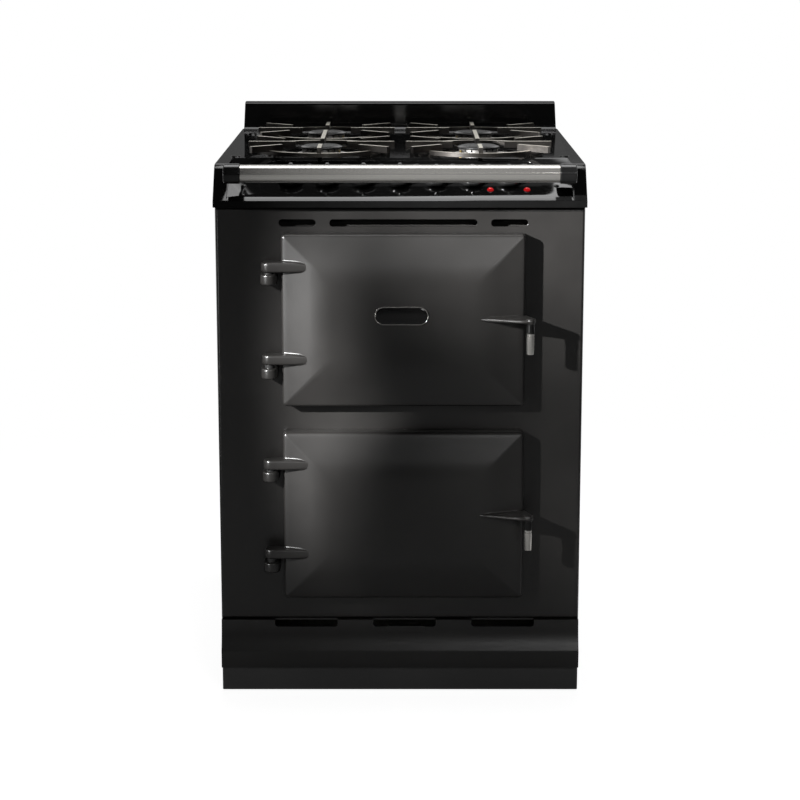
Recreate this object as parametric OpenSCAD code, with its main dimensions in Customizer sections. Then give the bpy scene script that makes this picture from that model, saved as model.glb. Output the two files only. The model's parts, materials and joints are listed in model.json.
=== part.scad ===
// Free-standing range cooker with a four-burner gas hob over two electric ovens.
// X runs across the front, Y from front to back and Z up from the floor.
// The origin is on the floor, under the middle of the overall width and depth.

/* [Body] */
// Width across the side panels
body_w = 600; // [580:5:680]
// Depth from the front plate's face to the rear edges of the sides
body_d = 632; // [620:4:700]
// Gap between the floor and the plinth
floor_gap = 2; // [1:1:6]
// Height of the plinth
plinth_h = 42; // [38:2:60]
// Height of the lower moulding
moulding_h = 80; // [70:2:100]
// Height of the front plate
plate_h = 696; // [680:4:760]
// Gap between the plinth, moulding, front plate and hob
seam = 2; // [1:0.5:4]
// Thickness of the sheet steel casing
sheet_t = 1.5; // [1:0.5:3]
// Distance from the sides' rear edges to the back panel, for pipes and terminals
back_in = 26; // [25:1:36]
// Distance from the body's sides to the middles of the feet
foot_in = 50; // [40:2:60]
// Width of the folds along the edges of the casing
fold_w = 16; // [10:1:20]

/* [Front plate] */
// Thickness of the front plate
plate_t = 4; // [3:0.5:5]
// Depth of the plate's folded edges
plate_fold = 18; // [14:1:24]
// Rounding of the plate's edges
plate_r = 6; // [5:1:8]
// Width of the middle vent slot
vent_mid_w = 240; // [180:10:250]
// Width of each outer vent slot
vent_side_w = 60; // [40:5:65]
// Height of a vent slot
vent_h = 12; // [8:1:14]
// Bridge between two vent slots
vent_bridge = 22; // [16:1:30]
// Height from the vents' centre line to the top of the plate
vent_drop = 25; // [22:1:28]

/* [Ovens] */
// Distance of the ovens' and doors' centre line to the right of the body's
oven_x = 5.5; // [0:0.5:10]
// Corner radius of an oven mouth
mouth_r = 14; // [8:1:20]
// Distance from the edges of an oven mouth out to the oven's walls
cavity_step = 8; // [6:1:12]
// Inner depth of an oven
cavity_d = 430; // [380:10:450]
// Thickness of the oven liner
liner_t = 1.5; // [1:0.5:3]
// Thickness of the insulation round the ovens
wool_t = 36; // [24:1:38]
// Diameter of the runner wires
runner_d = 5; // [4:0.5:6]
// Height between two runners
runner_pitch = 50; // [44:2:54]
// Diameter of a shelf's frame wire
shelf_d = 6; // [5:0.5:8]
// Number of thin wires in a shelf
shelf_bars = 13; // [9:2:17]
// Diameter of the heating elements
element_d = 7; // [6:0.5:9]
// Distance from the heating elements to the oven's roof and floor
element_in = 15; // [13:1:18]
// Distance from an oven's mouth back to its heating elements
element_front = 70; // [60:5:90]
// Distance from an oven's back wall to its heating elements' middles
element_back = 50; // [45:5:80]
// Distance between the legs of the grill element
grill_pitch = 48; // [40:2:54]
// Distance between the legs of a floor element
floor_pitch = 78; // [70:2:86]
// How far a shelf slides before it meets the closed door
shelf_travel = 30; // [20:5:36]

/* [Doors] */
// Width of a door
door_w = 395; // [390:1:402]
// Distance from the front plate's lower edge up to the lower door
door_foot = 44; // [36:1:52]
// Distance between the two doors
door_between = 44; // [36:1:52]
// Distance from the upper door up to the front plate's top edge
door_head = 40; // [36:1:44]
// How far a door laps over the oven mouth at each side
lap_side = 27.5; // [24:0.5:32]
// How far a door laps over the oven mouth above and below
lap_end = 26; // [22:1:32]
// Gap between the front plate and a door
door_gap = 3; // [2.5:0.5:4]
// Distance from the plate's face to the front of a door's outer edges
door_edge = 25; // [23:1:28]
// Distance from the plate's face to the crown of a door
door_crown = 42; // [40:1:46]
// Width of the rounded slope from a door's edge to its flat crown
crown_run = 80; // [70:2:90]
// Rounding of a door's outer edges
door_r = 4; // [3:0.5:6]
// Wall of a door casting
door_wall = 8; // [7:0.5:10]
// Depth of the inner plate behind the front plate's face
plug_in = 16; // [12:1:20]
// Gap between the inner plate and the oven mouth
plug_clear = 6; // [5:0.5:8]
// Blank badge plate, width
badge_w = 87; // [70:1:100]
// Blank badge plate, height
badge_h = 30; // [24:1:36]
// Height of the badge above the upper door's centre line
badge_up = 12; // [0:1:20]

/* [Hinges] */
// Distance from the hinge axis to the door's left edge
hinge_x_gap = 20; // [18:0.5:24]
// Distance from the plate's face to the hinge axis
hinge_out = 26; // [25:0.5:28]
// Radius of a door arm round the hinge axis
arm_r = 12; // [11:0.5:13]
// Height of a door arm
arm_h = 17; // [15:0.5:19]
// Height of the upper arm's centre above the door's centre line
arm_up = 89.5; // [84:0.5:94]
// Height between the two arms of a door
arm_pitch = 152; // [144:1:160]
// Length of an arm along the door, from the hinge axis
arm_run = 62; // [54:1:70]
// Width of a hinge lug
lug_w = 27; // [24:0.5:28]
// Height of a hinge lug
lug_h = 17.5; // [15:0.5:20]
// Gap between the upper arm and its lug
lug_gap = 3; // [2.5:0.5:5]
// How much lower the lower lug sits than its arm asks
lug_slack = 3; // [1:0.5:4]
// Radius of a hinge pin
pin_r = 5; // [4:0.5:6]
// Radius of the collar that the arm rests on
collar_r = 8; // [7:0.5:9]
// Radial clearance of an arm on its pin
pin_clear = 0.1; // [0.05:0.05:0.2]

/* [Door handles] */
// Distance from the door's right edge to the grip's axis
grip_over = 7; // [6:0.5:10]
// Distance from the plate's face to the grip's axis
grip_out = 54; // [50:1:58]
// Diameter of the chrome grip
grip_d = 12.5; // [11:0.5:15]
// Length of the chrome grip
grip_len = 35; // [28:1:45]
// Thickness of the handle fin
fin_t = 10; // [8:1:12]
// Height of the fin's centre above the door's centre line
fin_up = 5; // [0:1:10]
// Length of the fin along the door, from the grip's axis
fin_run = 78; // [60:1:90]
// Distance from the fin's centre to the top of the grip
neck_len = 19; // [15:1:24]
// Radius of the neck between the fin and the grip
neck_r = 6.8; // [6:0.2:7.4]

/* [Lower moulding] */
// How far the moulding's nose stands in front of the plate's face
nose_out = 14; // [10:1:18]
// Radius of the nose
nose_r = 6; // [5:0.5:7]
// Height from the moulding's lower edge to the nose
nose_up = 28; // [24:1:32]
// How far the top edge of the moulding stands in front of the plate's face
moulding_lip = 1; // [0.5:0.5:2]
// Depth of the moulding behind the plate's face
moulding_in = 12; // [10:1:14]
// Wall of the moulding
moulding_t = 3; // [2:0.5:4]
// Width of a notch in the moulding's top edge
notch_w = 105; // [80:5:120]
// Depth of a notch
notch_h = 12; // [9:1:14]
// Distance between the notches' centres
notch_pitch = 165; // [155:1:175]
// Width of the catch tab
tab_w = 65; // [50:1:80]
// Height of the catch tab
tab_h = 8; // [6:1:10]

/* [Hob] */
// How far the hob's sides stand out beyond the body's
hob_over = 1.5; // [1:0.5:3]
// Height from the hob's lower lip to its deck
hob_rise = 65; // [62:1:72]
// Thickness of the deck
deck_t = 5; // [4.5:0.5:6]
// Thickness of the hob's skirt, apron and lip
skirt_t = 3; // [2:0.5:4]
// How far the front lip stands in front of the plate's face
lip_out = 15; // [12:1:18]
// Height of the front lip
lip_h = 11; // [9:1:13]
// Height of the skirt across the back, over the gas inlet
rear_skirt_h = 42; // [30:2:44]
// Width of each side ear
ear_w = 22; // [18:1:26]
// Distance from the plate's face back to where an ear reaches the deck
ear_back = 27; // [20:1:34]
// Rounding of an ear's top corner
ear_r = 20; // [14:1:26]
// Distance from the plate's face back to where the deck ends and the apron starts
apron_back = 124; // [118:1:132]
// How far the apron's lower edge stands in front of the plate's face
apron_out = 5; // [3:1:8]
// Drop of the apron from the deck to its lower edge
apron_drop = 49; // [45:1:52]
// Length of the control panel's opening along the apron
bay_len = 116; // [108:1:120]
// Distance from the outer knobs' centres to the ends of the control panel's opening
bay_side = 50.5; // [46:0.5:56]
// Corner radius of the control panel's opening
bay_r = 26; // [16:1:34]
// Radius of a fixing cap
cap_fix_r = 9; // [7:0.5:11]

/* [Splashback] */
// Height of the splashback above the deck
splash_h = 53; // [40:1:80]
// Distance from the hob's sides to the foot of the splashback
splash_in = 4; // [2:0.5:10]
// How much narrower the splashback is at its top
splash_taper = 6; // [2:0.5:12]
// Thickness of the splashback
splash_t = 24; // [20:1:30]
// Radius of the cove at the splashback's foot
cove_r = 9; // [6:1:12]
// Rounding of the splashback's top
splash_r = 6; // [4:0.5:8]

/* [Handrail] */
// Diameter of the handrail
rail_d = 28; // [24:1:32]
// Width of an end bracket, between the tube and the ear
bracket_w = 26; // [22:1:30]
// Wall of the chrome tube
rail_t = 2; // [1:0.5:3]
// Distance from the plate's face to the rail's axis
rail_out = 54; // [50:1:60]
// Drop from the deck to the rail's axis
rail_drop = 5.5; // [3:0.5:9]
// Radius of the end brackets round the rail
bracket_r = 16; // [15.5:0.5:18]

/* [Controls] */
// Distance between two knobs
knob_pitch = 59.5; // [56:0.5:62]
// Diameter of a knob's skirt
knob_d = 42; // [38:1:44]
// Height of a knob
knob_h = 28; // [24:1:32]
// Thickness of a knob's skirt
knob_skirt = 8; // [6:1:10]
// Width of a knob's grip bar
knob_bar = 9; // [7:0.5:11]
// How far a gas knob presses in
knob_press = 3; // [2:0.5:4]
// Distance from the plate's face back to the knobs' centres
knob_back = 50; // [47:1:54]
// Radius of a tap spindle
spindle_r = 3; // [2.5:0.25:4]
// Radius of a domed cap
cap_r = 8; // [6:0.5:9]
// Height of a domed cap
cap_h = 4; // [3:0.5:5]
// Distance from a knob's centre to its cap and neon, across the panel
cap_x = 28; // [27:0.5:30]
// Distance from the plate's face back to the caps
cap_back = 100; // [97:1:103]
// Radius of a neon lens
neon_r = 5.5; // [4:0.5:6.5]
// Distance from the plate's face back to the neons
neon_back = 23; // [20:1:27]

/* [Burners] */
// Distance from the hob's middle to the burners
burner_x = 134; // [130:1:136]
// Distance from the plate's face back to the front burners
burner_y = 203; // [200:1:208]
// Distance from the rear burners to the rear edges of the sides
burner_back = 185; // [175:1:190]
// Radius of the round dish under a burner
dish_r = 76; // [64:1:84]
// Depth of the dish
dish_h = 2; // [1:0.5:3]
// Radius of a burner's flange
flange_r = 42; // [38:0.5:43]
// Radius of a burner's body under the deck
cup_r = 29; // [26:0.5:32]
// Radius of the flame ring
flame_r = 33; // [30:0.5:36]
// Radius of a burner cap
lid_r = 36; // [34:0.5:38]
// Height of a burner cap
lid_h = 5; // [4:0.5:6]
// Number of flame slots round a burner
flame_slots = 16; // [12:2:20]
// Width of a flame slot
slot_w = 3; // [2:0.5:4]
// Distance from the body's left side to the gas inlet
supply_in = 62; // [50:2:80]
// Distance from a burner's centre to its spark electrode and thermocouple
sensor_r = 47; // [46:0.5:50]

/* [Supply] */
// Width of the terminal box
box_w = 90; // [70:2:110]
// Height of the terminal box
box_h = 70; // [60:2:90]
// Depth of the terminal box
box_d = 22; // [18:1:24]
// Distance from the body's right side to the terminal box
box_in = 60; // [50:2:80]
// Height of the terminal box above the lower moulding
box_up = 20; // [10:2:40]
// Radius of the cable entry in the terminal box
cable_r = 8; // [6:0.5:9]
// Width of a cooling slot in the back panel
louvre_w = 36; // [30:1:42]
// Height of a cooling slot in the back panel
louvre_h = 6; // [4:0.5:8]
// Distance between two cooling slots
louvre_pitch = 52; // [48:1:60]

/* [Pan supports] */
// Height of the finger tops above the deck
support_h = 20; // [17:1:24]
// Height of the rings' tops above the deck
ring_top = 11; // [10:1:13]
// Mean radius of a ring
ring_r = 107; // [104:1:110]
// Width of the bars
bar_w = 7; // [6:0.5:8]
// Height of the ring bars
ring_h = 7; // [6:0.5:8]
// Distance from a burner's centre to the inner ends of the cross fingers
finger_in = 44; // [42:1:50]
// Distance from a burner's centre to the outer ends of the side fingers
finger_out = 124; // [121:1:126]
// Distance from a burner's centre to the outer ends of the diagonal fingers
diagonal_out = 145; // [138:1:148]
// Distance from a burner's centre to the inner ends of the diagonal fingers
diagonal_in = 83; // [78:1:92]
// Angle of the diagonal fingers from the side fingers
diagonal_a = 38; // [34:1:42]

/* [Hidden] */
$fn = 72;
knob_count = 7;
gas_count = 4; // the first knobs from the left turn gas taps
rest = 0.3; // gap under a piece that rests on another body
over = 1; // how far a cut runs past a face
half_w = body_w / 2;
hob_w = body_w + 2 * hob_over;
splash_w = hob_w - 2 * splash_in;
rail_r = rail_d / 2;
face_y = (rail_out + bracket_r - body_d) / 2;
rear_y = face_y + body_d;
plinth_top = floor_gap + plinth_h;
moulding_z = plinth_top + seam;
moulding_top = moulding_z + moulding_h;
plate_z = moulding_top + seam;
plate_top = plate_z + plate_h;
lip_z = plate_top + seam;
deck_z = lip_z + hob_rise;
door_h = (plate_h - door_foot - door_between - door_head) / 2;
oven_z = [plate_z + door_foot + door_h / 2, plate_top - door_head - door_h / 2];
mouth_w = door_w - 2 * lap_side;
mouth_h = door_h - 2 * lap_end;
burner_pitch = body_d - burner_y - burner_back;
bay_w = (knob_count - 1) * knob_pitch + 2 * bay_side;
cavity_w = mouth_w + 2 * cavity_step;
cavity_h = mouth_h + 2 * cavity_step;
back_y = rear_y - back_in; // outer face of the back panel

// Colours seen in the photo
enamel = [0.12, 0.12, 0.12];
gloss = [0.03, 0.03, 0.035];
chrome = [0.75, 0.75, 0.73];
steel = [0.55, 0.55, 0.53];
iron = [0.42, 0.41, 0.38];
brass = [0.62, 0.52, 0.3];

// Helpers

function unit(v) = v / norm(v);

// Extrudes a (Y, Z) outline along X, centred on x = 0
module along_x(len) {
  rotate([90, 0, 90])
    linear_extrude(len, center = true)
      children();
}

// Extrudes an (X, Z) outline from y0 back to y1
module along_y(y0, y1) {
  translate([0, y1, 0])
    rotate([90, 0, 0])
      linear_extrude(y1 - y0)
        children();
}

// Rectangle round the origin with round corners
module soft_rect(w, h, r) {
  square([w - 2 * r, h], center = true);
  square([w, h - 2 * r], center = true);
  for (x = [-1, 1], y = [-1, 1])
    translate([x * (w / 2 - r), y * (h / 2 - r)])
      circle(r);
}

// Rectangle from y = 0 to y = d whose two corners at y = 0 are round
module bullnose(w, d, r) {
  translate([-w / 2, r])
    square([w, d - r]);
  translate([-w / 2 + r, 0])
    square([w - 2 * r, d]);
  for (x = [-1, 1])
    translate([x * (w / 2 - r), r])
      circle(r);
}

// What a fillet of radius r takes off the corner p, whose edges run towards a and b
module corner_cut(p, a, b, r) {
  u = unit(a - p);
  v = unit(b - p);
  half = acos(u * v) / 2;
  centre = p + unit(u + v) * r / sin(half);
  difference() {
    polygon([p, p + u * r / tan(half), centre, p + v * r / tan(half)]);
    translate(centre)
      circle(r);
  }
}

// Round bar between two points
module rod(p, q, r) {
  v = q - p;
  translate(p)
    rotate([0, acos(v.z / norm(v)), atan2(v.y, v.x)])
      cylinder(r = r, h = norm(v));
}

// Base, feet and casing

frame_gap = 4; // between the base frame and the casing's folds
frame_y0 = face_y + plate_fold + frame_gap;
frame_y1 = back_y - sheet_t - rest;
frame_w = body_w - 2 * sheet_t - 2 * rest;
frame_bar = 34;
frame_sink = 10; // how far the frame reaches down behind the plinth
tray_t = 2;
platform_t = 3;
post_w = 24;
post_in = 5;
foot_r = 4.9;
foot_bore = 26;
pad_r = 16;
pad_h = 6;
hex_r = 11;
hex_h = 12;
stem_up = 8; // how far a foot's stem stands over the plinth
wool_z = oven_z[0] - cavity_h / 2 - liner_t - wool_t;
wool_top = oven_z[1] + cavity_h / 2 + liner_t + wool_t;
liner_y = face_y + plate_t;
foot_x = half_w - foot_in;
foot_y = [frame_y0 + frame_bar / 2, frame_y1 - frame_bar / 2];
frame_z = plinth_top - frame_sink;
beam_y = face_y + moulding_in + rest;
beam_w = body_w - 2 * (fold_w + frame_gap);

// Welded base: a ring with a tray, four posts, the platform under the ovens and a front
// beam that the lower moulding rests against
module base_frame() {
  color(steel)
    difference() {
      union() {
        translate([-frame_w / 2, frame_y0, frame_z])
          difference() {
            cube([frame_w, frame_y1 - frame_y0, frame_bar]);
            translate([frame_bar, frame_bar, -over])
              cube([frame_w - 2 * frame_bar, frame_y1 - frame_y0 - 2 * frame_bar, frame_bar + 2 * over]);
          }
        translate([-frame_w / 2, frame_y0, frame_z + frame_bar - tray_t])
          cube([frame_w, frame_y1 - frame_y0, tray_t]);
        translate([-beam_w / 2, beam_y, moulding_z])
          cube([beam_w, frame_y0 - beam_y + over, frame_z + frame_bar - moulding_z]);
        for (x = [post_in - frame_w / 2, frame_w / 2 - post_in - post_w], y = [frame_y0, frame_y1 - post_w])
          translate([x, y, plinth_top])
            cube([post_w, post_w, wool_z - plinth_top]);
        translate([-frame_w / 2, frame_y0, wool_z - platform_t])
          cube([frame_w, frame_y1 - frame_y0, platform_t]);
      }
      for (x = [-foot_x, foot_x], y = foot_y)
        translate([x, y, frame_z - over])
          cylinder(r = foot_r + pin_clear, h = foot_bore + over);
    }
}

// Screw feet: a flat pad, a hexagon to turn it by and a stem in the base frame
module levelling_feet() {
  color(steel)
    for (x = [-foot_x, foot_x], y = foot_y)
      translate([x, y, 0]) {
        cylinder(r = pad_r, h = pad_h);
        cylinder(r = hex_r, h = hex_h, $fn = 6);
        cylinder(r = foot_r, h = plinth_top + stem_up);
      }
}

// Matt kick plate with its two side returns
module plinth() {
  color([0.15, 0.15, 0.15])
    translate([0, 0, floor_gap])
      linear_extrude(plinth_h)
        difference() {
          translate([0, face_y])
            bullnose(body_w, body_d - 4, 3);
          translate([-half_w + sheet_t, face_y + sheet_t])
            square([body_w - 2 * sheet_t, body_d]);
        }
}

// Side panel with folds at the front, the back and the top
module side_panel(side) {
  y0 = face_y + plate_fold + 0.5;
  color(enamel)
    translate([side * half_w, 0, 0])
      scale([side, 1, 1])
        difference() {
          translate([-fold_w, y0, moulding_z])
            cube([fold_w, rear_y - y0, lip_z - moulding_z]);
          translate([-fold_w - over, y0 + sheet_t, moulding_z - over])
            cube([fold_w + over - sheet_t, rear_y - y0 - 2 * sheet_t, lip_z - moulding_z + over - sheet_t]);
        }
}

// Distances of the two rows of cooling slots below and above the insulation
louvre_low = 50;
louvre_high = 22;

// Sheet back with two rows of cooling slots and a hole for the gas pipe
module back_panel() {
  color(steel)
    difference() {
      translate([0, 0, (moulding_z + lip_z) / 2])
        along_y(back_y - sheet_t, back_y)
          square([frame_w, lip_z - moulding_z - 2 * seam], center = true);
      for (z = [wool_z - louvre_low, wool_top + louvre_high], i = [-4:4])
        if (z < wool_z || i > -3)
          translate([i * louvre_pitch, 0, z])
            along_y(back_y - sheet_t - over, back_y + over)
              soft_rect(louvre_w, louvre_h, louvre_h / 2 - 0.1);
      translate([supply_x, back_y - sheet_t - over, supply_z])
        rotate([-90, 0, 0])
          cylinder(r = supply_r + 1.5, h = sheet_t + 2 * over);
    }
}

// Front plate with rounded edges, two oven mouths and three vent slots
module front_plate() {
  vent_z = plate_top - vent_drop;
  side_vent_x = vent_mid_w / 2 + vent_bridge + vent_side_w / 2;
  color(enamel)
    difference() {
      intersection() {
        translate([0, face_y, plate_z])
          linear_extrude(plate_h)
            bullnose(body_w, plate_fold, plate_r);
        along_x(body_w + 2 * over)
          translate([face_y, (plate_z + plate_top) / 2])
            rotate(-90)
              bullnose(plate_h, plate_fold, plate_r);
      }
      translate([-half_w + plate_t, face_y + plate_t, plate_z + plate_t])
        cube([body_w - 2 * plate_t, plate_fold, plate_h - 2 * plate_t]);
      along_y(face_y - over, face_y + plate_t + over) {
        for (z = oven_z)
          translate([oven_x, z])
            soft_rect(mouth_w, mouth_h, mouth_r);
        translate([oven_x, vent_z])
          soft_rect(vent_mid_w, vent_h, vent_h / 2 - 0.1);
        for (side = [-1, 1])
          translate([oven_x + side * side_vent_x, vent_z])
            soft_rect(vent_side_w, vent_h, vent_h / 2 - 0.1);
      }
    }
}

// Hinges

hinge_x = oven_x - door_w / 2 - hinge_x_gap;
hinge_y = face_y - hinge_out;
// Arm centres, and lug tops, above a door's centre line: upper first
arm_z = [arm_up, arm_up - arm_pitch];
lug_top = [arm_z[0] - arm_h / 2 - lug_gap, arm_z[1] - arm_h / 2 - lug_gap - lug_slack];

// Cast lugs that stand on the front plate and carry the pins
module hinge_lugs() {
  color(enamel)
    for (z = oven_z, top = lug_top)
      translate([hinge_x, 0, z + top - lug_h])
        difference() {
          linear_extrude(lug_h) {
            translate([0, hinge_y])
              circle(lug_w / 2);
            translate([-lug_w / 2, hinge_y])
              square([lug_w, hinge_out]);
          }
          translate([0, hinge_y, -over])
            cylinder(r = pin_r, h = lug_h + 2 * over);
        }
}

// Steel pins, each with the collar that its arm rests on
module hinge_pins() {
  color(steel)
    for (z = oven_z, i = [0, 1])
      translate([hinge_x, hinge_y, z + lug_top[i]]) {
        gap = arm_z[i] - arm_h / 2 - lug_top[i];
        translate([0, 0, -lug_h])
          cylinder(r = pin_r, h = lug_h + gap + arm_h - 6);
        cylinder(r = collar_r, h = gap - rest);
      }
}

// Rope seals round the oven mouths, on the front plate
module door_seals() {
  color([0.25, 0.25, 0.24])
    along_y(face_y - door_gap + rest, face_y)
      for (z = oven_z)
        translate([oven_x, z])
          difference() {
            soft_rect(mouth_w + 18, mouth_h + 18, mouth_r + 9);
            soft_rect(mouth_w + 6, mouth_h + 6, mouth_r + 3);
          }
}

// Doors

door_y = face_y - door_gap;
crown_h = door_crown - door_gap;
edge_h = door_edge - door_gap;
crown_r = (crown_run ^ 2 + (crown_h - edge_h) ^ 2) / (2 * (crown_h - edge_h));
grip_at = [oven_x + door_w / 2 + grip_over, face_y - grip_out];
flange_w = door_w - 2 * door_wall;
flange_h = door_h - 2 * door_wall;

// Section through a door: flat back, rounded outer edges and a crown of two arcs and a flat
module crown_section(span) {
  flat = span / 2 - crown_run;
  reach = crown_run - door_r;
  corner = [span / 2 - door_r, crown_h - crown_r + sqrt((crown_r - door_r) ^ 2 - reach ^ 2)];
  along = unit(corner - [flat, crown_h - crown_r]);
  difference() {
    union() {
      translate([-flat, 0])
        square([2 * flat, crown_h]);
      for (side = [-1, 1])
        scale([side, 1])
          intersection() {
            translate([flat, crown_h - crown_r])
              circle(crown_r);
            translate([flat - over, 0])
              square([crown_run + over, crown_h]);
          }
    }
    for (side = [-1, 1])
      scale([side, 1])
        difference() {
          polygon([corner, corner + along * 3 * door_r, corner + [3, 3] * door_r, corner + [3 * door_r, 0]]);
          translate(corner)
            circle(door_r);
        }
  }
}

// Arm from the hinge axis on to the door's slope
module door_arm() {
  front = hinge_y - arm_r;
  difference() {
    linear_extrude(arm_h, center = true) {
      translate([hinge_x, hinge_y])
        circle(arm_r);
      translate([hinge_x, front])
        square([arm_run, 2 * arm_r - 4]);
    }
    translate([hinge_x, hinge_y, -arm_h / 2 - over])
      cylinder(r = pin_r + pin_clear, h = arm_h - 4 + over);
  }
}

// Fin that grows out of the crown and carries the grip under its end
module door_fin() {
  tip = neck_r + 1.5;
  linear_extrude(fin_t, center = true) {
    translate(grip_at)
      circle(tip);
    polygon([
      grip_at + [-fin_run, grip_out - door_crown + 4],
      grip_at + [-fin_run, grip_out - door_crown],
      grip_at + [-12, -tip],
      grip_at + [0, -tip],
      grip_at + [tip, 0],
      [oven_x + door_w / 2 - 2, face_y - door_gap - 4],
      [oven_x + door_w / 2 - 20, face_y - door_gap - 4]
    ]);
  }
}

// Hollow cast door with two hinge arms and the handle fin
module door_casting(z) {
  color(enamel)
    difference() {
      union() {
        intersection() {
          translate([oven_x, door_y, z - door_h / 2])
            mirror([0, 1, 0])
              linear_extrude(door_h)
                crown_section(door_w);
          translate([oven_x, 0, 0])
            along_x(door_w + 2 * over)
              translate([door_y, z])
                rotate(90)
                  crown_section(door_h);
        }
        for (arm = arm_z)
          translate([0, 0, z + arm])
            door_arm();
        translate([0, 0, z + fin_up])
          door_fin();
        translate([grip_at.x, grip_at.y, z + fin_up - neck_len])
          cylinder(r = neck_r, h = neck_len);
        translate([grip_at.x, grip_at.y, z + fin_up - neck_len - grip_len / 2])
          cylinder(r = 3, h = grip_len / 2 + over);
      }
      // Rebate for the inner plate, and the hollow behind the crown in two steps
      for (step = [[door_wall, sheet_t], [2 * door_wall, edge_h - door_wall], [crown_run * 0.7, crown_h - door_wall]])
        translate([oven_x, 0, z])
          along_y(door_y - step[1], door_y + over)
            soft_rect(door_w - 2 * step[0], door_h - 2 * step[0], door_r + 2);
    }
}

// Inner plate: a flange let into the casting and a tray that enters the oven mouth
module door_inner(z) {
  plug_w = mouth_w - 2 * plug_clear;
  plug_h = mouth_h - 2 * plug_clear;
  plug_y = face_y + plug_in;
  color(steel)
    translate([oven_x, 0, z])
      difference() {
        union() {
          along_y(door_y - sheet_t, door_y)
            soft_rect(flange_w - 0.4, flange_h - 0.4, door_r + 2);
          along_y(door_y - sheet_t, plug_y)
            soft_rect(plug_w, plug_h, mouth_r - 2);
        }
        along_y(door_y - sheet_t - over, plug_y - sheet_t)
          soft_rect(plug_w - 2 * sheet_t, plug_h - 2 * sheet_t, mouth_r - 2 - sheet_t);
      }
}

// Chrome grip with a shallow groove near its top, bored for the neck's stud
module door_grip(z) {
  top = z + fin_up - neck_len;
  color(chrome)
    translate([grip_at.x, grip_at.y, top - grip_len])
      difference() {
        cylinder(d = grip_d, h = grip_len);
        translate([0, 0, grip_len / 2 - rest])
          cylinder(r = 3.05, h = grip_len);
        translate([0, 0, grip_len - 5])
          difference() {
            cylinder(d = grip_d + 2, h = 1.5);
            translate([0, 0, -over])
              cylinder(d = grip_d - 1.2, h = 4);
          }
      }
}

// Blank plate on the crown of the upper door
module badge_plate() {
  color(chrome)
    translate([oven_x - 3, 0, oven_z[1] + badge_up])
      difference() {
        along_y(face_y - door_crown - 2.4, face_y - door_crown)
          soft_rect(badge_w, badge_h, badge_h / 2 - 0.1);
        along_y(face_y - door_crown - 3, face_y - door_crown - 1.6)
          soft_rect(badge_w - 5, badge_h - 5, badge_h / 2 - 2.6);
      }
}

// Lower moulding

// Section: the cove's arc comes down from the top edge and turns into the round nose
cove_reach = nose_out - nose_r - moulding_lip;
cove_drop = moulding_h - nose_up;
// The cove touches the nose, so its radius follows from the two centres' distance
hollow_r = (cove_reach ^ 2 + cove_drop ^ 2 - nose_r ^ 2) / (2 * (nose_r + cove_reach));

module moulding_section() {
  cove = [-moulding_lip - hollow_r, moulding_h];
  nose = [-nose_out + nose_r, nose_up];
  touch = nose + unit(cove - nose) * nose_r;
  difference() {
    translate([-nose_out, touch.y])
      square([nose_out + moulding_in, moulding_h - touch.y]);
    translate(cove)
      circle(hollow_r);
  }
  translate(nose)
    circle(nose_r);
  translate([nose.x, nose.y - over])
    square([moulding_in - nose.x, touch.y - nose.y + 2 * over]);
  translate([-nose_out, 0])
    square([nose_out + moulding_in, nose_up]);
}

// Pressed moulding, hollow behind, with three notches in its top edge
module lower_moulding() {
  color(enamel)
    difference() {
      along_x(body_w)
        translate([face_y, moulding_z])
          difference() {
            moulding_section();
            intersection() {
              translate([moulding_t, 0])
                moulding_section();
              translate([-nose_out, moulding_t])
                square([nose_out + moulding_in + moulding_t + over, moulding_h - 2 * moulding_t]);
            }
          }
      for (i = [-1, 0, 1])
        translate([oven_x + 2 + i * notch_pitch, 0, moulding_top])
          along_y(face_y - moulding_lip - 3, face_y + 8)
            soft_rect(notch_w, 2 * notch_h, 5);
    }
}

// Catch tab in front of the cove, hooked over the edge of the middle notch
module moulding_tab() {
  tab_t = 2;
  sag = hollow_r - sqrt(hollow_r ^ 2 - (notch_h + tab_h) ^ 2);
  tab_y = face_y - moulding_lip - sag - rest;
  color(enamel)
    translate([oven_x + 3, 0, moulding_top - notch_h]) {
      translate([0, 0, (tab_t + rest - tab_h) / 2])
        along_y(tab_y - tab_t, tab_y)
          soft_rect(tab_w, tab_h + tab_t + rest, 1.5);
      along_y(tab_y - tab_t / 2, face_y + moulding_in / 2)
        translate([-tab_w / 2 + 6, rest])
          square([tab_w - 12, tab_t]);
    }
}

// Hob

deck_y = face_y + apron_back;
apron_y = face_y - apron_out;
apron_z = deck_z - apron_drop;
slope_a = atan2(apron_drop, deck_y - apron_y);
slope_mid = [0, (deck_y + apron_y) / 2, deck_z - apron_drop / 2];
slope_len = norm([deck_y - apron_y, apron_drop]);
panel_t = 3;

// Puts children on the apron: origin in its middle, Z square to its surface
module on_slope() {
  translate(slope_mid)
    rotate([slope_a, 0, 0])
      children();
}

// Distance along the slope of a point that lies back behind the front plate's face
function slope_y(back) = (face_y + back - slope_mid.y) / cos(slope_a);

// World Y and Z of a point of the slope's own frame
function slope_point(y, z) = [
  slope_mid.y + y * cos(slope_a) - z * sin(slope_a),
  slope_mid.z + y * sin(slope_a) + z * cos(slope_a)
];

burners = [for (y = [0, burner_pitch], x = [-1, 1]) [x * burner_x, face_y + burner_y + y]];

// Side view of an ear: lip, slope, rounded shoulder and flat top
module ear_outline() {
  front = face_y - lip_out;
  shoulder = [face_y + ear_back, deck_z];
  foot = [front + 1, lip_z + lip_h];
  difference() {
    polygon([[front, lip_z], [front, lip_z + lip_h - 1], foot, shoulder, [deck_y, deck_z], [deck_y, lip_z]]);
    corner_cut(shoulder, foot, [deck_y, deck_z], ear_r);
  }
}

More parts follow.
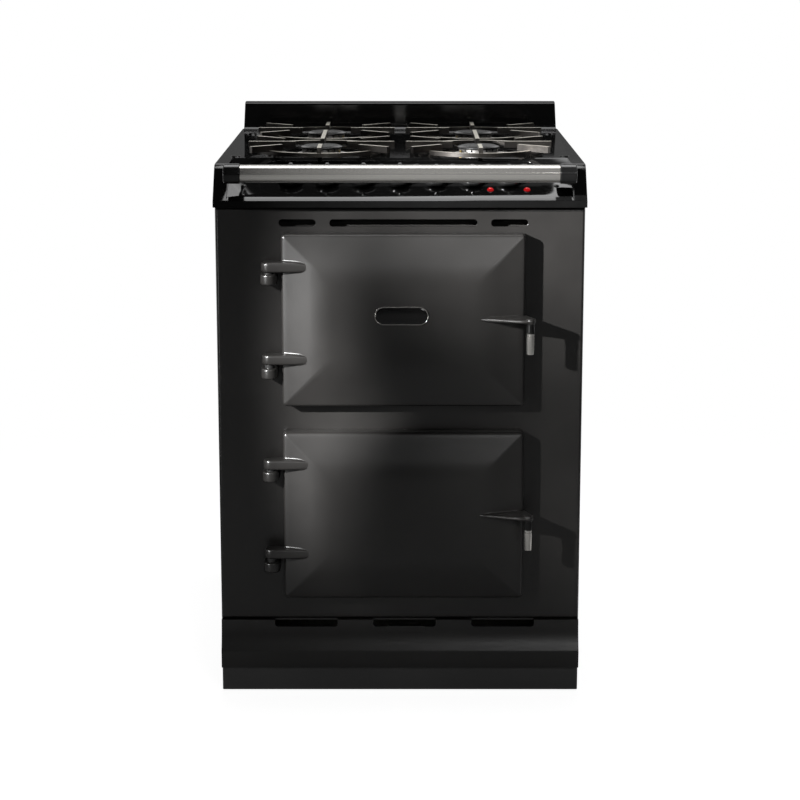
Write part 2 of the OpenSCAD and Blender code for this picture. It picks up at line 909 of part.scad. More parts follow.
// Side view of the apron and lip between the ears
module apron_outline() {
  front = face_y - lip_out;
  polygon([
    [deck_y + over, deck_z],
    [deck_y, deck_z],
    [apron_y, apron_z],
    [front, lip_z + lip_h],
    [front, lip_z],
    [front + skirt_t, lip_z],
    [front + skirt_t, lip_z + lip_h - skirt_t / 2],
    slope_point(-slope_len / 2, rest - skirt_t),
    slope_point(slope_len / 2, rest - skirt_t),
    [deck_y + over, deck_z - skirt_t]
  ]);
}

// Pressed hob: deck with burner dishes, skirt, ears, and the apron round the control panel
module hob_top() {
  color(gloss)
    difference() {
      union() {
        translate([-hob_w / 2, deck_y, deck_z - deck_t])
          cube([hob_w, rear_y - deck_y, deck_t]);
        for (x = [-hob_w / 2, hob_w / 2 - skirt_t])
          translate([x, deck_y - over, lip_z])
            cube([skirt_t, rear_y - deck_y + over, hob_rise]);
        translate([-hob_w / 2, rear_y - skirt_t, deck_z - rear_skirt_h])
          cube([hob_w, skirt_t, rear_skirt_h]);
        for (x = [-1, 1])
          translate([x * (hob_w - ear_w) / 2, 0, 0])
            along_x(ear_w)
              ear_outline();
        along_x(hob_w - ear_w)
          apron_outline();
      }
      for (b = burners)
        translate([b.x, b.y, deck_z]) {
          translate([0, 0, -dish_h])
            cylinder(r = dish_r, h = dish_h + over);
          translate([0, 0, -deck_t - over])
            cylinder(r = cup_r + rest, h = deck_t + over);
        }
      on_slope()
        translate([0, 0, -skirt_t - 2])
          linear_extrude(skirt_t + 4)
            soft_rect(bay_w, bay_len, bay_r);
    }
}

// Places of the fixing caps: from the hob's sides, before the front burners, behind the rear ones
cap_fix_in = 25.5;
cap_fix_front = 58;
cap_fix_rear = 80;

// Round caps over the hob's fixing screws
module hob_fixing_caps() {
  color(gloss)
    for (x = [-1, 1], y = [burners[0].y - cap_fix_front, burners[2].y + cap_fix_rear])
      translate([x * (hob_w / 2 - cap_fix_in), y, deck_z])
        cylinder(r1 = cap_fix_r, r2 = cap_fix_r - 1.2, h = 1.5);
}

// Splashback: tapered ends, rounded top and a coved foot on the deck
module splashback() {
  y0 = rear_y - splash_t;
  foot_t = 0.8;
  top = splash_w / 2 - splash_taper / 2;
  outline = [[-splash_w / 2, 0], [-top, splash_h], [top, splash_h], [splash_w / 2, 0]];
  color(gloss)
    translate([0, 0, deck_z])
      intersection() {
        along_y(y0 - cove_r, rear_y)
          polygon(outline);
        along_x(splash_w + over)
          difference() {
            union() {
              translate([rear_y, 0])
                rotate(90)
                  translate([splash_h / 2, 0])
                    square([splash_h, 2 * splash_t], center = true);
              translate([y0 - cove_r, 0])
                square([cove_r + over, cove_r + foot_t]);
            }
            translate([y0 - cove_r, cove_r + foot_t])
              circle(cove_r);
            corner_cut([y0, splash_h], [y0, 0], [rear_y, splash_h], splash_r);
          }
      }
}

// Control panel and what is on it

function knob_x(i) = (i - (knob_count + 1) / 2) * knob_pitch;

knob_y = slope_y(knob_back);
panel_z = -skirt_t;
spindle_in = 12; // length of a spindle inside its tap

// Plate behind the apron's opening, drilled for spindles, caps and neons
module control_panel() {
  color(gloss)
    on_slope()
      difference() {
        translate([0, 0, panel_z - panel_t])
          linear_extrude(panel_t)
            soft_rect(bay_w + 14, bay_len + 14, bay_r + 7);
        for (i = [1:knob_count]) {
          translate([knob_x(i), knob_y, panel_z - panel_t - over])
            cylinder(r = spindle_r + 1.2, h = panel_t + 2 * over);
          translate([knob_x(i) + cap_x, slope_y(cap_back), panel_z - panel_t - over])
            cylinder(r = 2.1, h = panel_t + 2 * over);
        }
        for (i = [gas_count + 2:knob_count])
          translate([knob_x(i) + cap_x, slope_y(neon_back), panel_z - panel_t - over])
            cylinder(r = neon_r - 1.4, h = panel_t + 2 * over);
      }
}

// A shallow dome of radius r and height h
module dome(r, h) {
  ball = (r ^ 2 + h ^ 2) / (2 * h);
  intersection() {
    translate([0, 0, h - ball])
      sphere(ball);
    cylinder(r = r, h = h + over);
  }
}

// Domed caps, one beside each knob, each with a pin through the panel
module panel_caps() {
  color([0.2, 0.2, 0.21])
    on_slope()
      for (i = [1:knob_count])
        translate([knob_x(i) + cap_x, slope_y(cap_back), panel_z]) {
          dome(cap_r, cap_h);
          translate([0, 0, -panel_t])
            cylinder(r = 2, h = panel_t + 1);
        }
}

// Red lenses of the two oven neons
module neon_lenses() {
  color([0.8, 0.05, 0.05])
    on_slope()
      for (i = [gas_count + 2:knob_count])
        translate([knob_x(i) + cap_x, slope_y(neon_back), panel_z]) {
          dome(neon_r, cap_h);
          translate([0, 0, -panel_t - 3])
            cylinder(r = neon_r - 1.5, h = panel_t + 4);
        }
}

// Knob: a round skirt and a raised bar with rounded ends; electric knobs have their own stem
module knob(i) {
  lift = i <= gas_count ? knob_press + rest : 1;
  color(gloss)
    on_slope()
      translate([knob_x(i), knob_y, panel_z + lift])
        difference() {
          union() {
            cylinder(d = knob_d, h = knob_skirt - 2);
            translate([0, 0, knob_skirt - 2])
              cylinder(d1 = knob_d, d2 = knob_d - 4, h = 2);
            intersection() {
              translate([-knob_bar / 2, -knob_d / 2, 1])
                cube([knob_bar, knob_d, knob_h - 1]);
              cylinder(d1 = knob_d - 1, d2 = knob_d - 8, h = knob_h);
              rotate([0, 90, 0])
                translate([knob_d * 0.75 - knob_h, 0, 0])
                  cylinder(r = knob_d * 0.75, h = knob_bar + over, center = true);
            }
            if (i > gas_count)
              translate([0, 0, -lift - 14])
                cylinder(r = spindle_r, h = lift + 15);
          }
          if (i <= gas_count)
            translate([0, 0, -over])
              cylinder(r = spindle_r + pin_clear, h = knob_h - 5 + over);
        }
}

// D-shaped spindle of a gas tap, from inside the tap to inside its knob
module tap_spindle(i) {
  color(brass)
    on_slope()
      translate([knob_x(i), knob_y, panel_z - panel_t - spindle_in])
        difference() {
          cylinder(r = spindle_r, h = panel_t + spindle_in + knob_h - 8);
          translate([-spindle_r, spindle_r * 0.6, panel_t + spindle_in + 2])
            cube([2 * spindle_r, spindle_r, knob_h]);
        }
}

// Handrail

rail_y = face_y - rail_out;
screw_back = 30;
rail_z = deck_z - rail_drop;
inner_ear = hob_w / 2 - ear_w;
rail_len = 2 * (inner_ear - bracket_w);

// Chrome tube across the front
module handrail() {
  color(chrome)
    translate([0, rail_y, rail_z])
      rotate([0, 90, 0])
        difference() {
          cylinder(r = rail_r, h = rail_len, center = true);
          cylinder(r = rail_r - rail_t, h = rail_len + 2 * over, center = true);
        }
}

// End brackets: a round head over the rail's end and an arm back to the ear
module rail_brackets() {
  arm_y = face_y + ear_back + 6;
  color(gloss)
    for (side = [-1, 1])
      translate([side * (inner_ear - bracket_w / 2), 0, 0]) {
        along_x(bracket_w)
          union() {
            translate([rail_y, rail_z])
              circle(bracket_r);
            polygon([
              [rail_y, rail_z - bracket_r],
              [arm_y, rail_z - bracket_r - 4],
              [arm_y, rail_z + 1],
              [rail_y + 10, rail_z + bracket_r * 0.7]
            ]);
          }
        translate([-side * (bracket_w / 2 + 4), rail_y, rail_z])
          rotate([0, 90, 0])
            cylinder(r = rail_r - rail_t - 0.05, h = 10, center = true);
      }
}

// Fixing screws of the brackets: round heads midway between the panel's opening and the ears
module rail_screws() {
  color(brass)
    on_slope()
      for (side = [-1, 1])
        translate([side * (bay_w / 2 + inner_ear) / 2, slope_y(screw_back), 0])
          dome(5, 2.4);
}

// Burners and gas

flame_z = deck_z - dish_h;
flame_h = 10;
flange_t = 2;
flame_wall = 5;
crown_top = flame_z + flame_h;
cup_h = 24;
lid_rim = 4; // how far a cap's rim drops inside the flame ring
sensor_h = 10;
control_w = 40;
control_l = 36;
control_h = 25;
control_neck = 5;
supply_pipe_r = 7;
elbow_r = 10;
inlet_r = 9;
bar_over = 26; // how far the gas rail runs past the outer taps
tap_len = 30;
tap_r = 11;
collar_len = 10;
tap_neck = 8;
bar_half = 8;
manifold_z = panel_z - panel_t - tap_len - bar_half;
supply_r = 10;
supply_x = -half_w + supply_in;
outlet_z = panel_z - panel_t - 18;
outlet_y = knob_y + 18;
pipe_r = 3;
supply_z = slope_point(knob_y, manifold_z)[1];
supply_y = slope_point(knob_y, manifold_z)[0];

// Burner base: a cup under the deck, its flange in the dish and a slotted flame ring
module burner_bases() {
  color(steel)
    for (b = burners)
      translate([b.x, b.y, flame_z])
        difference() {
          union() {
            translate([0, 0, -cup_h])
              cylinder(r = cup_r, h = cup_h + over);
            cylinder(r = flange_r, h = flange_t);
            cylinder(r = flame_r, h = flame_h);
          }
          translate([0, 0, flange_t + over])
            cylinder(r = flame_r - flame_wall, h = flame_h);
          for (i = [1:flame_slots])
            rotate(i * 360 / flame_slots)
              translate([flame_r - flame_wall - over, -slot_w / 2, flame_h - 4])
                cube([flame_wall + 2 * over, slot_w, 4 + over]);
        }
}

// Loose burner cap with a rim that drops inside the flame ring
module burner_cap(i) {
  b = burners[i];
  color([0.08, 0.08, 0.08])
    translate([b.x, b.y, crown_top + rest]) {
      cylinder(r = lid_r, h = lid_h - 2);
      translate([0, 0, lid_h - 2])
        cylinder(r1 = lid_r, r2 = lid_r - 6, h = 2);
      translate([0, 0, -lid_rim])
        difference() {
          cylinder(r = flame_r - flame_wall - 0.6, h = lid_rim + over);
          translate([0, 0, -over])
            cylinder(r = flame_r - flame_wall - 4, h = lid_rim + over);
        }
    }
}

// Angle from a burner to its thermocouple, towards the middle of the hob and the front
function sensor_a(b) = b.x < 0 ? -48 : 228;

// A spark electrode and a thermocouple stand up through the deck at each burner
module burner_sensors() {
  color(brass)
    for (b = burners, turn = [0, 180])
      translate([b.x, b.y, flame_z])
        rotate(sensor_a(b) + turn)
          translate([sensor_r, 0, 0]) {
            cylinder(r = 3.5, h = 3);
            cylinder(r = 2, h = sensor_h);
          }
}

// Gas rail under the taps and the supply pipe to the inlet at the back
module gas_manifold() {
  left = knob_x(1) - bar_over;
  color(brass)
    difference() {
      union() {
        on_slope()
          translate([left, knob_y - bar_half, manifold_z - bar_half])
            cube([knob_x(gas_count) + bar_over - left, 2 * bar_half, 2 * bar_half]);
        rod([supply_x, supply_y, supply_z], [left + over, supply_y, supply_z], supply_pipe_r);
        translate([supply_x, supply_y, supply_z - elbow_r])
          cylinder(r = elbow_r, h = 2 * elbow_r);
        rod([supply_x, supply_y, supply_z], [supply_x, back_y + 4, supply_z], supply_pipe_r);
        rod([supply_x, back_y - 6, supply_z], [supply_x, rear_y - 4, supply_z], supply_r + 1);
      }
      rod([supply_x, back_y, supply_z], [supply_x, rear_y, supply_z], inlet_r);
    }
}

// Gas taps between the panel and the gas rail, with an outlet towards the burners
module gas_taps() {
  color(brass)
    on_slope()
      for (i = [1:gas_count])
        difference() {
          translate([knob_x(i), knob_y, panel_z - panel_t]) {
            translate([0, 0, -collar_len])
              cylinder(r = tap_r - 3, h = collar_len);
            translate([0, 0, -tap_len])
              cylinder(r = tap_r, h = tap_len - tap_neck);
            translate([0, 0, outlet_z - panel_z + panel_t])
              rotate([-90, 0, 0])
                cylinder(r = 5, h = outlet_y - knob_y);
          }
          translate([knob_x(i), knob_y, panel_z - panel_t - spindle_in - 4])
            cylinder(r = spindle_r + pin_clear, h = spindle_in + 4 + over);
          translate([knob_x(i), outlet_y - 5, outlet_z])
            rotate([-90, 0, 0])
              cylinder(r = pipe_r + pin_clear, h = 5 + over);
        }
}

// Which burner each tap feeds, from the left: front left, rear left, rear right, front right
tap_feeds = [0, 2, 3, 1];

// Gas pipes from the taps to the burners' cups
module gas_pipes() {
  start = slope_point(outlet_y - 4, outlet_z);
  turn = slope_point(outlet_y + 6, outlet_z);
  color([0.7, 0.7, 0.7])
    for (i = [0:gas_count - 1]) {
      b = burners[tap_feeds[i]];
      bend = [knob_x(i + 1), turn[0], turn[1]];
      rod([knob_x(i + 1), start[0], start[1]], bend, pipe_r);
      translate(bend)
        sphere(pipe_r * 1.5);
      rod(bend, [b.x, b.y, bend.z], pipe_r);
      translate([b.x, b.y, bend.z])
        sphere(pipe_r * 1.5);
      rod([b.x, b.y, bend.z], [b.x, b.y, flame_z - cup_h], pipe_r);
    }
}

// Grill regulator and two thermostats behind the electric knobs
module oven_controls() {
  color([0.75, 0.74, 0.7])
    on_slope()
      for (i = [gas_count + 1:knob_count])
        translate([knob_x(i), knob_y, panel_z - panel_t])
          difference() {
            union() {
              translate([0, 0, -control_neck - over])
                cylinder(r = tap_r - 3, h = control_neck + over);
              translate([-control_w / 2, -control_l / 2, -control_neck - control_h])
                cube([control_w, control_l, control_h]);
            }
            translate([0, 0, -18])
              cylinder(r = spindle_r + pin_clear, h = 18 + over);
          }
}

// Box for the electric supply, in the recess of the back panel
module terminal_box() {
  gland = 11;
  color([0.2, 0.2, 0.2])
    translate([half_w - box_in - box_w / 2, back_y, moulding_top + box_up])
      difference() {
        translate([-box_w / 2, 0, 0])
          cube([box_w, box_d, box_h]);
        translate([0, box_d / 2, -over])
          cylinder(r = cable_r, h = gland + over);
      }
}

// Ovens

// Enamelled liner: a box open at the front, with a flange behind the front plate
module oven_liner(z) {
  color([0.25, 0.25, 0.26])
    translate([oven_x, 0, z])
      difference() {
        union() {
          along_y(liner_y, liner_y + cavity_d + liner_t)
            soft_rect(cavity_w + 2 * liner_t, cavity_h + 2 * liner_t, mouth_r + liner_t);
          along_y(liner_y, liner_y + liner_t)
            soft_rect(cavity_w + 24, cavity_h + 24, mouth_r + 12);
        }
        along_y(liner_y - over, liner_y + cavity_d)
          soft_rect(cavity_w, cavity_h, mouth_r);
      }
}

// Mineral wool round both liners
module insulation() {
  wool_y0 = liner_y + liner_t;
  color([0.8, 0.76, 0.6])
    difference() {
      translate([0, 0, (wool_z + wool_top) / 2])
        along_y(frame_y0, liner_y + cavity_d + liner_t + wool_t)
          translate([oven_x, 0])
            square([cavity_w + 2 * liner_t + 2 * wool_t, wool_top - wool_z], center = true);
      for (z = oven_z)
        translate([oven_x, 0, z])
          along_y(wool_y0 - over, liner_y + cavity_d + liner_t)
            soft_rect(cavity_w + 2 * liner_t, cavity_h + 2 * liner_t, mouth_r + liner_t);
    }
}

runner_r = runner_d / 2;
runner_front = 60;
runner_back = 20;
runner_y = [liner_y + runner_front, liner_y + cavity_d - runner_back];
// Heights of the runners from an oven's centre line
runner_z = [for (i = [-1:1]) i * runner_pitch];
shelf_r = shelf_d / 2;
// Distances of the ladders' posts, the runners and the shelf's sides from the oven's middle
ladder_x = cavity_w / 2 - runner_r - rest;
runner_x = ladder_x - runner_d + rest;
shelf_x = ladder_x - runner_r - rest - shelf_r;
shelf_z = sqrt((runner_r + shelf_r + rest) ^ 2 - (runner_x - shelf_x) ^ 2) - runner_pitch;

// Wire ladders on both walls of each oven
module shelf_runners() {
  color(chrome)
    for (z = oven_z, side = [-1, 1])
      translate([oven_x, 0, z])
        scale([side, 1, 1]) {
          for (y = [runner_y[0] + 30, runner_y[1] - 30])
            rod(
              [ladder_x, y, -runner_pitch - 20],
              [ladder_x, y, runner_pitch + 20],
              runner_r
            );
          for (h = runner_z)
            rod(
              [runner_x, runner_y[0], h],
              [runner_x, runner_y[1], h],
              runner_r
            );
        }
}

// Wire shelf on the lowest runners
module oven_shelf(z) {
  y0 = face_y + plug_in + shelf_travel + shelf_r + 2;
  y1 = runner_y[1] - 12;
  bend = 12;
  color(chrome)
    translate([oven_x, 0, z + shelf_z]) {
      for (side = [-1, 1])
        rod([side * shelf_x, y0 + bend, 0], [side * shelf_x, y1 - bend, 0], shelf_r);
      for (y = [y0, y1])
        rod([bend - shelf_x, y, 0], [shelf_x - bend, y, 0], shelf_r);
      for (turn = [0, 180], side = [0, 1])
        translate([0, (y0 + y1) / 2, 0])
          rotate(turn)
            mirror([side, 0, 0])
              translate([shelf_x - bend, (y1 - y0) / 2 - bend, 0])
                rotate_extrude(angle = 90)
                  translate([bend, 0])
                    circle(shelf_r);
      for (i = [1:shelf_bars]) {
        x = -shelf_x + 2 * shelf_x * i / (shelf_bars + 1);
        rod([x, y0, 1], [x, y1, 1], 1.6);
      }
    }
}

// A bent heating element: parallel legs joined by half rings, with its ends in the back wall
module element(legs, pitch) {
  x0 = -(legs - 1) * pitch / 2;
  y0 = liner_y + element_front;
  y1 = liner_y + cavity_d - element_back;
  r = element_d / 2;
  for (i = [0:legs - 1])
    rod([x0 + i * pitch, y0, 0], [x0 + i * pitch, (i == 0 || i == legs - 1) ? liner_y + cavity_d : y1, 0], r);
  for (i = [0:legs - 2])
    translate([x0 + (i + 0.5) * pitch, i % 2 == 0 ? y0 : y1, 0])
      rotate(i % 2 == 0 ? 180 : 0)
        rotate_extrude(angle = 180)
          translate([pitch / 2, 0])
            circle(r);
}

// Grill under the roof of the upper oven
module grill_element() {
  color([0.3, 0.28, 0.27])
    translate([oven_x, 0, oven_z[1] + cavity_h / 2 - element_in])
      element(6, grill_pitch);
}

// Floor element of each oven
module oven_elements() {
  color([0.3, 0.28, 0.27])
    for (z = oven_z)
      translate([oven_x, 0, z - cavity_h / 2 + element_in])
        element(4, floor_pitch);
}

// Pan supports

// Radial bar from r0 to r1 at an angle, with its top at the height of the fingers
module finger(a, r0, r1) {
  rotate(a)
    translate([r0, -bar_w / 2, ring_top - 2])
      cube([r1 - r0, bar_w, support_h - ring_top + 2]);
}

// One support carries a front and a rear burner's rings
module pan_support(side) {
  diagonals = [diagonal_a, 180 - diagonal_a, 180 + diagonal_a, 360 - diagonal_a];
  color(iron)
    translate([side * burner_x, face_y + burner_y, deck_z])
      difference() {
        union() {
          for (y = [0, burner_pitch])
            translate([0, y, 0]) {
              translate([0, 0, ring_top - ring_h])
                difference() {
                  cylinder(r = ring_r + bar_w / 2, h = ring_h);
                  translate([0, 0, -over])
                    cylinder(r = ring_r - bar_w / 2, h = ring_h + 2 * over);
                }
              for (a = [0, 180])
                finger(a, finger_in, finger_out);
              for (a = diagonals) {
                finger(a, diagonal_in, diagonal_out);
                rotate(a)
                  translate([ring_r, 0, rest])
                    cylinder(r = bar_w / 2 - 0.6, h = ring_top - over - rest);
              }
            }
          finger(-90, finger_in, ring_r + bar_w / 2 - over);
          finger(90, finger_in, burner_pitch - finger_in);
          translate([0, burner_pitch, 0])
            finger(90, finger_in, ring_r + bar_w / 2 - over);
        }
      }
}

base_frame();
levelling_feet();
plinth();
side_panel(-1);  // side_panel_left
side_panel(1);  // side_panel_right
back_panel();
front_plate();
hinge_lugs();
hinge_pins();
door_seals();
hob_top();
hob_fixing_caps();
splashback();
control_panel();
handrail();
rail_brackets();
rail_screws();
burner_bases();
burner_sensors();
gas_manifold();
gas_taps();
gas_pipes();
oven_controls();
terminal_box();
oven_liner(oven_z[1]);  // oven_liner_upper
oven_liner(oven_z[0]);  // oven_liner_lower
insulation();
shelf_runners();
grill_element();
oven_elements();
panel_caps();
neon_lenses();
door_casting(oven_z[1]);  // door_upper
door_inner(oven_z[1]);  // door_upper_inner
door_grip(oven_z[1]);  // door_upper_grip
badge_plate();
door_casting(oven_z[0]);  // door_lower
door_inner(oven_z[0]);  // door_lower_inner
door_grip(oven_z[0]);  // door_lower_grip
knob(1);  // knob_1
knob(2);  // knob_2
knob(3);  // knob_3
knob(4);  // knob_4
knob(5);  // knob_5
knob(6);  // knob_6
knob(7);  // knob_7
tap_spindle(1);  // tap_spindle_1
tap_spindle(2);  // tap_spindle_2
tap_spindle(3);  // tap_spindle_3
tap_spindle(4);  // tap_spindle_4
pan_support(-1);  // pan_support_left
pan_support(1);  // pan_support_right
burner_cap(0);  // burner_cap_1
burner_cap(1);  // burner_cap_2
burner_cap(2);  // burner_cap_3
burner_cap(3);  // burner_cap_4
oven_shelf(oven_z[1]);  // oven_shelf_upper
oven_shelf(oven_z[0]);  // oven_shelf_lower
lower_moulding();
moulding_tab();
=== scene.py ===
# %% [markdown]
# # A range cooker with a gas hob and two crowned doors
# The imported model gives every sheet, casting and wire its place. This lesson dresses it: black
# vitreous enamel, chrome, grey pan supports and a plain studio. Where the real edge is a soft
# roll of enamel, the piece is worked out again as a surface.

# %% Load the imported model
import json
import math

import bmesh
import bpy
import numpy as np
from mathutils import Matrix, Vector

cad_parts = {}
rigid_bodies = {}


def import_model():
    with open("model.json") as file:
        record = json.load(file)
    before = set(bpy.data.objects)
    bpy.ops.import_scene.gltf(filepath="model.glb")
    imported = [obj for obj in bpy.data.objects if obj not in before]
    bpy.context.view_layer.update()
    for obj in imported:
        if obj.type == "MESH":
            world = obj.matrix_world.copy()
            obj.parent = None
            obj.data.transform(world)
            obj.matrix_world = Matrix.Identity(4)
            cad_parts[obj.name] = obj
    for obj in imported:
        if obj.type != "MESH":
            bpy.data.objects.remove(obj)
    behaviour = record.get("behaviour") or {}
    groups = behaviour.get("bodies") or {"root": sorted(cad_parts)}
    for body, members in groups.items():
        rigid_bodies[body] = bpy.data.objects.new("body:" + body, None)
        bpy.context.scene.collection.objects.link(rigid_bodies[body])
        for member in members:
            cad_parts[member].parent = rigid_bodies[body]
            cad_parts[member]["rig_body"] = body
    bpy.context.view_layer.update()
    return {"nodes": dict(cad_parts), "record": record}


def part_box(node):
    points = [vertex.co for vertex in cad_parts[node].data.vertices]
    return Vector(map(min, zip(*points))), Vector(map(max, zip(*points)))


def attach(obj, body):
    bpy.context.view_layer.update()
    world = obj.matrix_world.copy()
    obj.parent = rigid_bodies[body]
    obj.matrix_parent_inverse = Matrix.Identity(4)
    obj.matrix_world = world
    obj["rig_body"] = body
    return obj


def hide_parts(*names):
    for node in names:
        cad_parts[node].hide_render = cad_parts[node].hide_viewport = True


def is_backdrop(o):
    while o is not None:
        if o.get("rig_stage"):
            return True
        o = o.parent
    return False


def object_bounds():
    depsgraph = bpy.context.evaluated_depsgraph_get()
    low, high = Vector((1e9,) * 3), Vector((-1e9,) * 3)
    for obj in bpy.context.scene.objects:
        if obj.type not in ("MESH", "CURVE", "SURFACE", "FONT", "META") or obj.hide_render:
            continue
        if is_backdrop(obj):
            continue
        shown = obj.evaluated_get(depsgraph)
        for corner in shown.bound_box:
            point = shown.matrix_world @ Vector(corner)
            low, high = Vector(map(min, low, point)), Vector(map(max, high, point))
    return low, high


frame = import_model()
nodes = frame["nodes"]
scene = bpy.context.scene
MM = 0.001

# %% [markdown]
# ## The camera
# The photograph looks down on the cooker from a little over the splashback, with a long lens.
# A slight tilt and a small lens shift keep the sides of the body almost parallel. A full lens
# shift would match the photograph better, but would push the other views out of the frame.

# %% Camera
CAMERA_Y, CAMERA_Z = -3.490, 1.260
CAMERA_TILT, LENS_SHIFT = 10.95, -0.1
LENS_PIXELS, FRAME_PIXELS = 2001, 800
SENSOR_MM = 36
camera_data = bpy.data.cameras.new("camera")
camera_data.sensor_width = SENSOR_MM
camera_data.lens = SENSOR_MM * LENS_PIXELS / FRAME_PIXELS
camera_data.shift_y = LENS_SHIFT
camera = bpy.data.objects.new("camera", camera_data)
camera.location = (0, CAMERA_Y, CAMERA_Z)
camera.rotation_euler = (math.radians(90 - CAMERA_TILT), 0, 0)
scene.collection.objects.link(camera)
scene.camera = camera
scene.view_settings.view_transform = "Standard"
print("camera at", tuple(camera.location), "lens", round(camera_data.lens, 1), "mm")

# %% [markdown]
# ## Small helpers for materials
# Each finish is a Principled shader. What varies over a surface comes from node groups, built
# once: grain for the enamel's fine ripple, and brushed lines for drawn metal.


# %% Node helpers
def new_group(name, inputs, outputs):
    """An empty shader group with the named (type, default) inputs and typed outputs."""
    group = bpy.data.node_groups.new(name, "ShaderNodeTree")
    for label, (kind, value) in inputs.items():
        socket = group.interface.new_socket(label, in_out="INPUT", socket_type="NodeSocket" + kind)
        socket.default_value = value
    for label, kind in outputs.items():
        group.interface.new_socket(label, in_out="OUTPUT", socket_type="NodeSocket" + kind)
    return group, group.nodes.new("NodeGroupInput"), group.nodes.new("NodeGroupOutput")


def add(tree, kind, **settings):
    """A node of a kind, with its settings; names of inputs that exist set the sockets."""
    node = tree.nodes.new("ShaderNode" + kind)
    for key, value in settings.items():
        if key in node.inputs:
            node.inputs[key].default_value = value
        else:
            setattr(node, key, value)
    return node


def chain(tree, *pairs):
    """Links each pair of an output and an input socket."""
    for source, target in pairs:
        tree.links.new(source, target)


# %% The grain group
FINE_SHARE = 0.35
CLOUD_FROM, CLOUD_TO = 0.42, 0.95


def grain_group():
    """Two sizes of noise: the fine one ripples the surface, the broad one clouds its colour. The
    colour's mix is FINE_SHARE of the fine noise plus the broad one, from CLOUD_FROM to CLOUD_TO."""
    group, source, result = new_group(
        "grain",
        {
            "Light": ("Color", (0.1, 0.1, 0.1, 1)), "Dark": ("Color", (0.02, 0.02, 0.02, 1)),
            "Fine": ("Float", 400.0), "Broad": ("Float", 6.0),
            "Rough low": ("Float", 0.2), "Rough high": ("Float", 0.4),
        },
        {"Color": "Color", "Roughness": "Float", "Height": "Float"},
    )
    place = add(group, "TexCoord")
    fine = add(group, "TexNoise", Detail=2.0, Roughness=0.6)
    broad = add(group, "TexNoise", Detail=3.0, Roughness=0.55)
    blend = add(group, "Math", operation="MULTIPLY_ADD")
    blend.inputs[1].default_value = FINE_SHARE
    spread = add(group, "MapRange")
    spread.inputs["From Min"].default_value = CLOUD_FROM
    spread.inputs["From Max"].default_value = CLOUD_TO
    colour = add(group, "Mix", data_type="RGBA")
    rough = add(group, "MapRange")
    chain(
        group,
        (place.outputs["Object"], fine.inputs["Vector"]), (place.outputs["Object"], broad.inputs["Vector"]),
        (source.outputs["Fine"], fine.inputs["Scale"]), (source.outputs["Broad"], broad.inputs["Scale"]),
        (fine.outputs["Fac"], blend.inputs[0]), (broad.outputs["Fac"], blend.inputs[2]),
        (blend.outputs[0], spread.inputs["Value"]), (spread.outputs[0], colour.inputs["Factor"]),
        (source.outputs["Dark"], colour.inputs["A"]), (source.outputs["Light"], colour.inputs["B"]),
        (broad.outputs["Fac"], rough.inputs["Value"]),
        (source.outputs["Rough low"], rough.inputs["To Min"]),
        (source.outputs["Rough high"], rough.inputs["To Max"]),
        (colour.outputs["Result"], result.inputs["Color"]), (rough.outputs[0], result.inputs["Roughness"]),
        (fine.outputs["Fac"], result.inputs["Height"]),
    )
    return group


GRAIN = grain_group()


# %% The brushed group
def brushed_group():
    """Noise stretched along one axis: drawn, rolled or polished metal has such lines."""
    group, source, result = new_group(
        "brushed",
        {
            "Light": ("Color", (0.8, 0.8, 0.8, 1)), "Dark": ("Color", (0.6, 0.6, 0.6, 1)),
            "Stretch": ("Vector", (4.0, 900.0, 900.0)),
            "Rough low": ("Float", 0.1), "Rough high": ("Float", 0.2),
        },
        {"Color": "Color", "Roughness": "Float", "Height": "Float"},
    )
    place = add(group, "TexCoord")
    stretch = add(group, "VectorMath", operation="MULTIPLY")
    lines = add(group, "TexNoise", Scale=1.0, Detail=2.0)
    colour = add(group, "Mix", data_type="RGBA")
    rough = add(group, "MapRange")
    chain(
        group,
        (place.outputs["Object"], stretch.inputs[0]), (source.outputs["Stretch"], stretch.inputs[1]),
        (stretch.outputs[0], lines.inputs["Vector"]), (lines.outputs["Fac"], colour.inputs["Factor"]),
        (source.outputs["Dark"], colour.inputs["A"]), (source.outputs["Light"], colour.inputs["B"]),
        (lines.outputs["Fac"], rough.inputs["Value"]),
        (source.outputs["Rough low"], rough.inputs["To Min"]),
        (source.outputs["Rough high"], rough.inputs["To Max"]),
        (colour.outputs["Result"], result.inputs["Color"]), (rough.outputs[0], result.inputs["Roughness"]),
        (lines.outputs["Fac"], result.inputs["Height"]),
    )
    return group


BRUSHED = brushed_group()


# %% One finish from one group
def finish(name, group, light, dark, rough, bump=0.0, depth=0.0002, values=None, **shader):
    """A Principled material fed by a group's colour, roughness and height."""
    material = bpy.data.materials.new(name)
    material.use_nodes = True
    tree = material.node_tree
    surface = tree.nodes["Principled BSDF"]
    node = add(tree, "Group", node_tree=group)
    node.inputs["Light"].default_value = (*light, 1)
    node.inputs["Dark"].default_value = (*dark, 1)
    node.inputs["Rough low"].default_value, node.inputs["Rough high"].default_value = rough
    for key, value in (values or {}).items():
        node.inputs[key].default_value = value
    chain(tree, (node.outputs["Color"], surface.inputs["Base Color"]),
          (node.outputs["Roughness"], surface.inputs["Roughness"]))
    if bump:
        ripple = add(tree, "Bump", Strength=bump, Distance=depth)
        chain(tree, (node.outputs["Height"], ripple.inputs["Height"]),
              (ripple.outputs["Normal"], surface.inputs["Normal"]))
    for key, value in shader.items():
        surface.inputs[key.replace("_", " ").title().replace("Ior", "IOR")].default_value = value
    return material


def grey(value, warm=1.0):
    """A nearly neutral colour; warm over 1 leans it towards brown."""
    return (value * warm, value, value / warm)


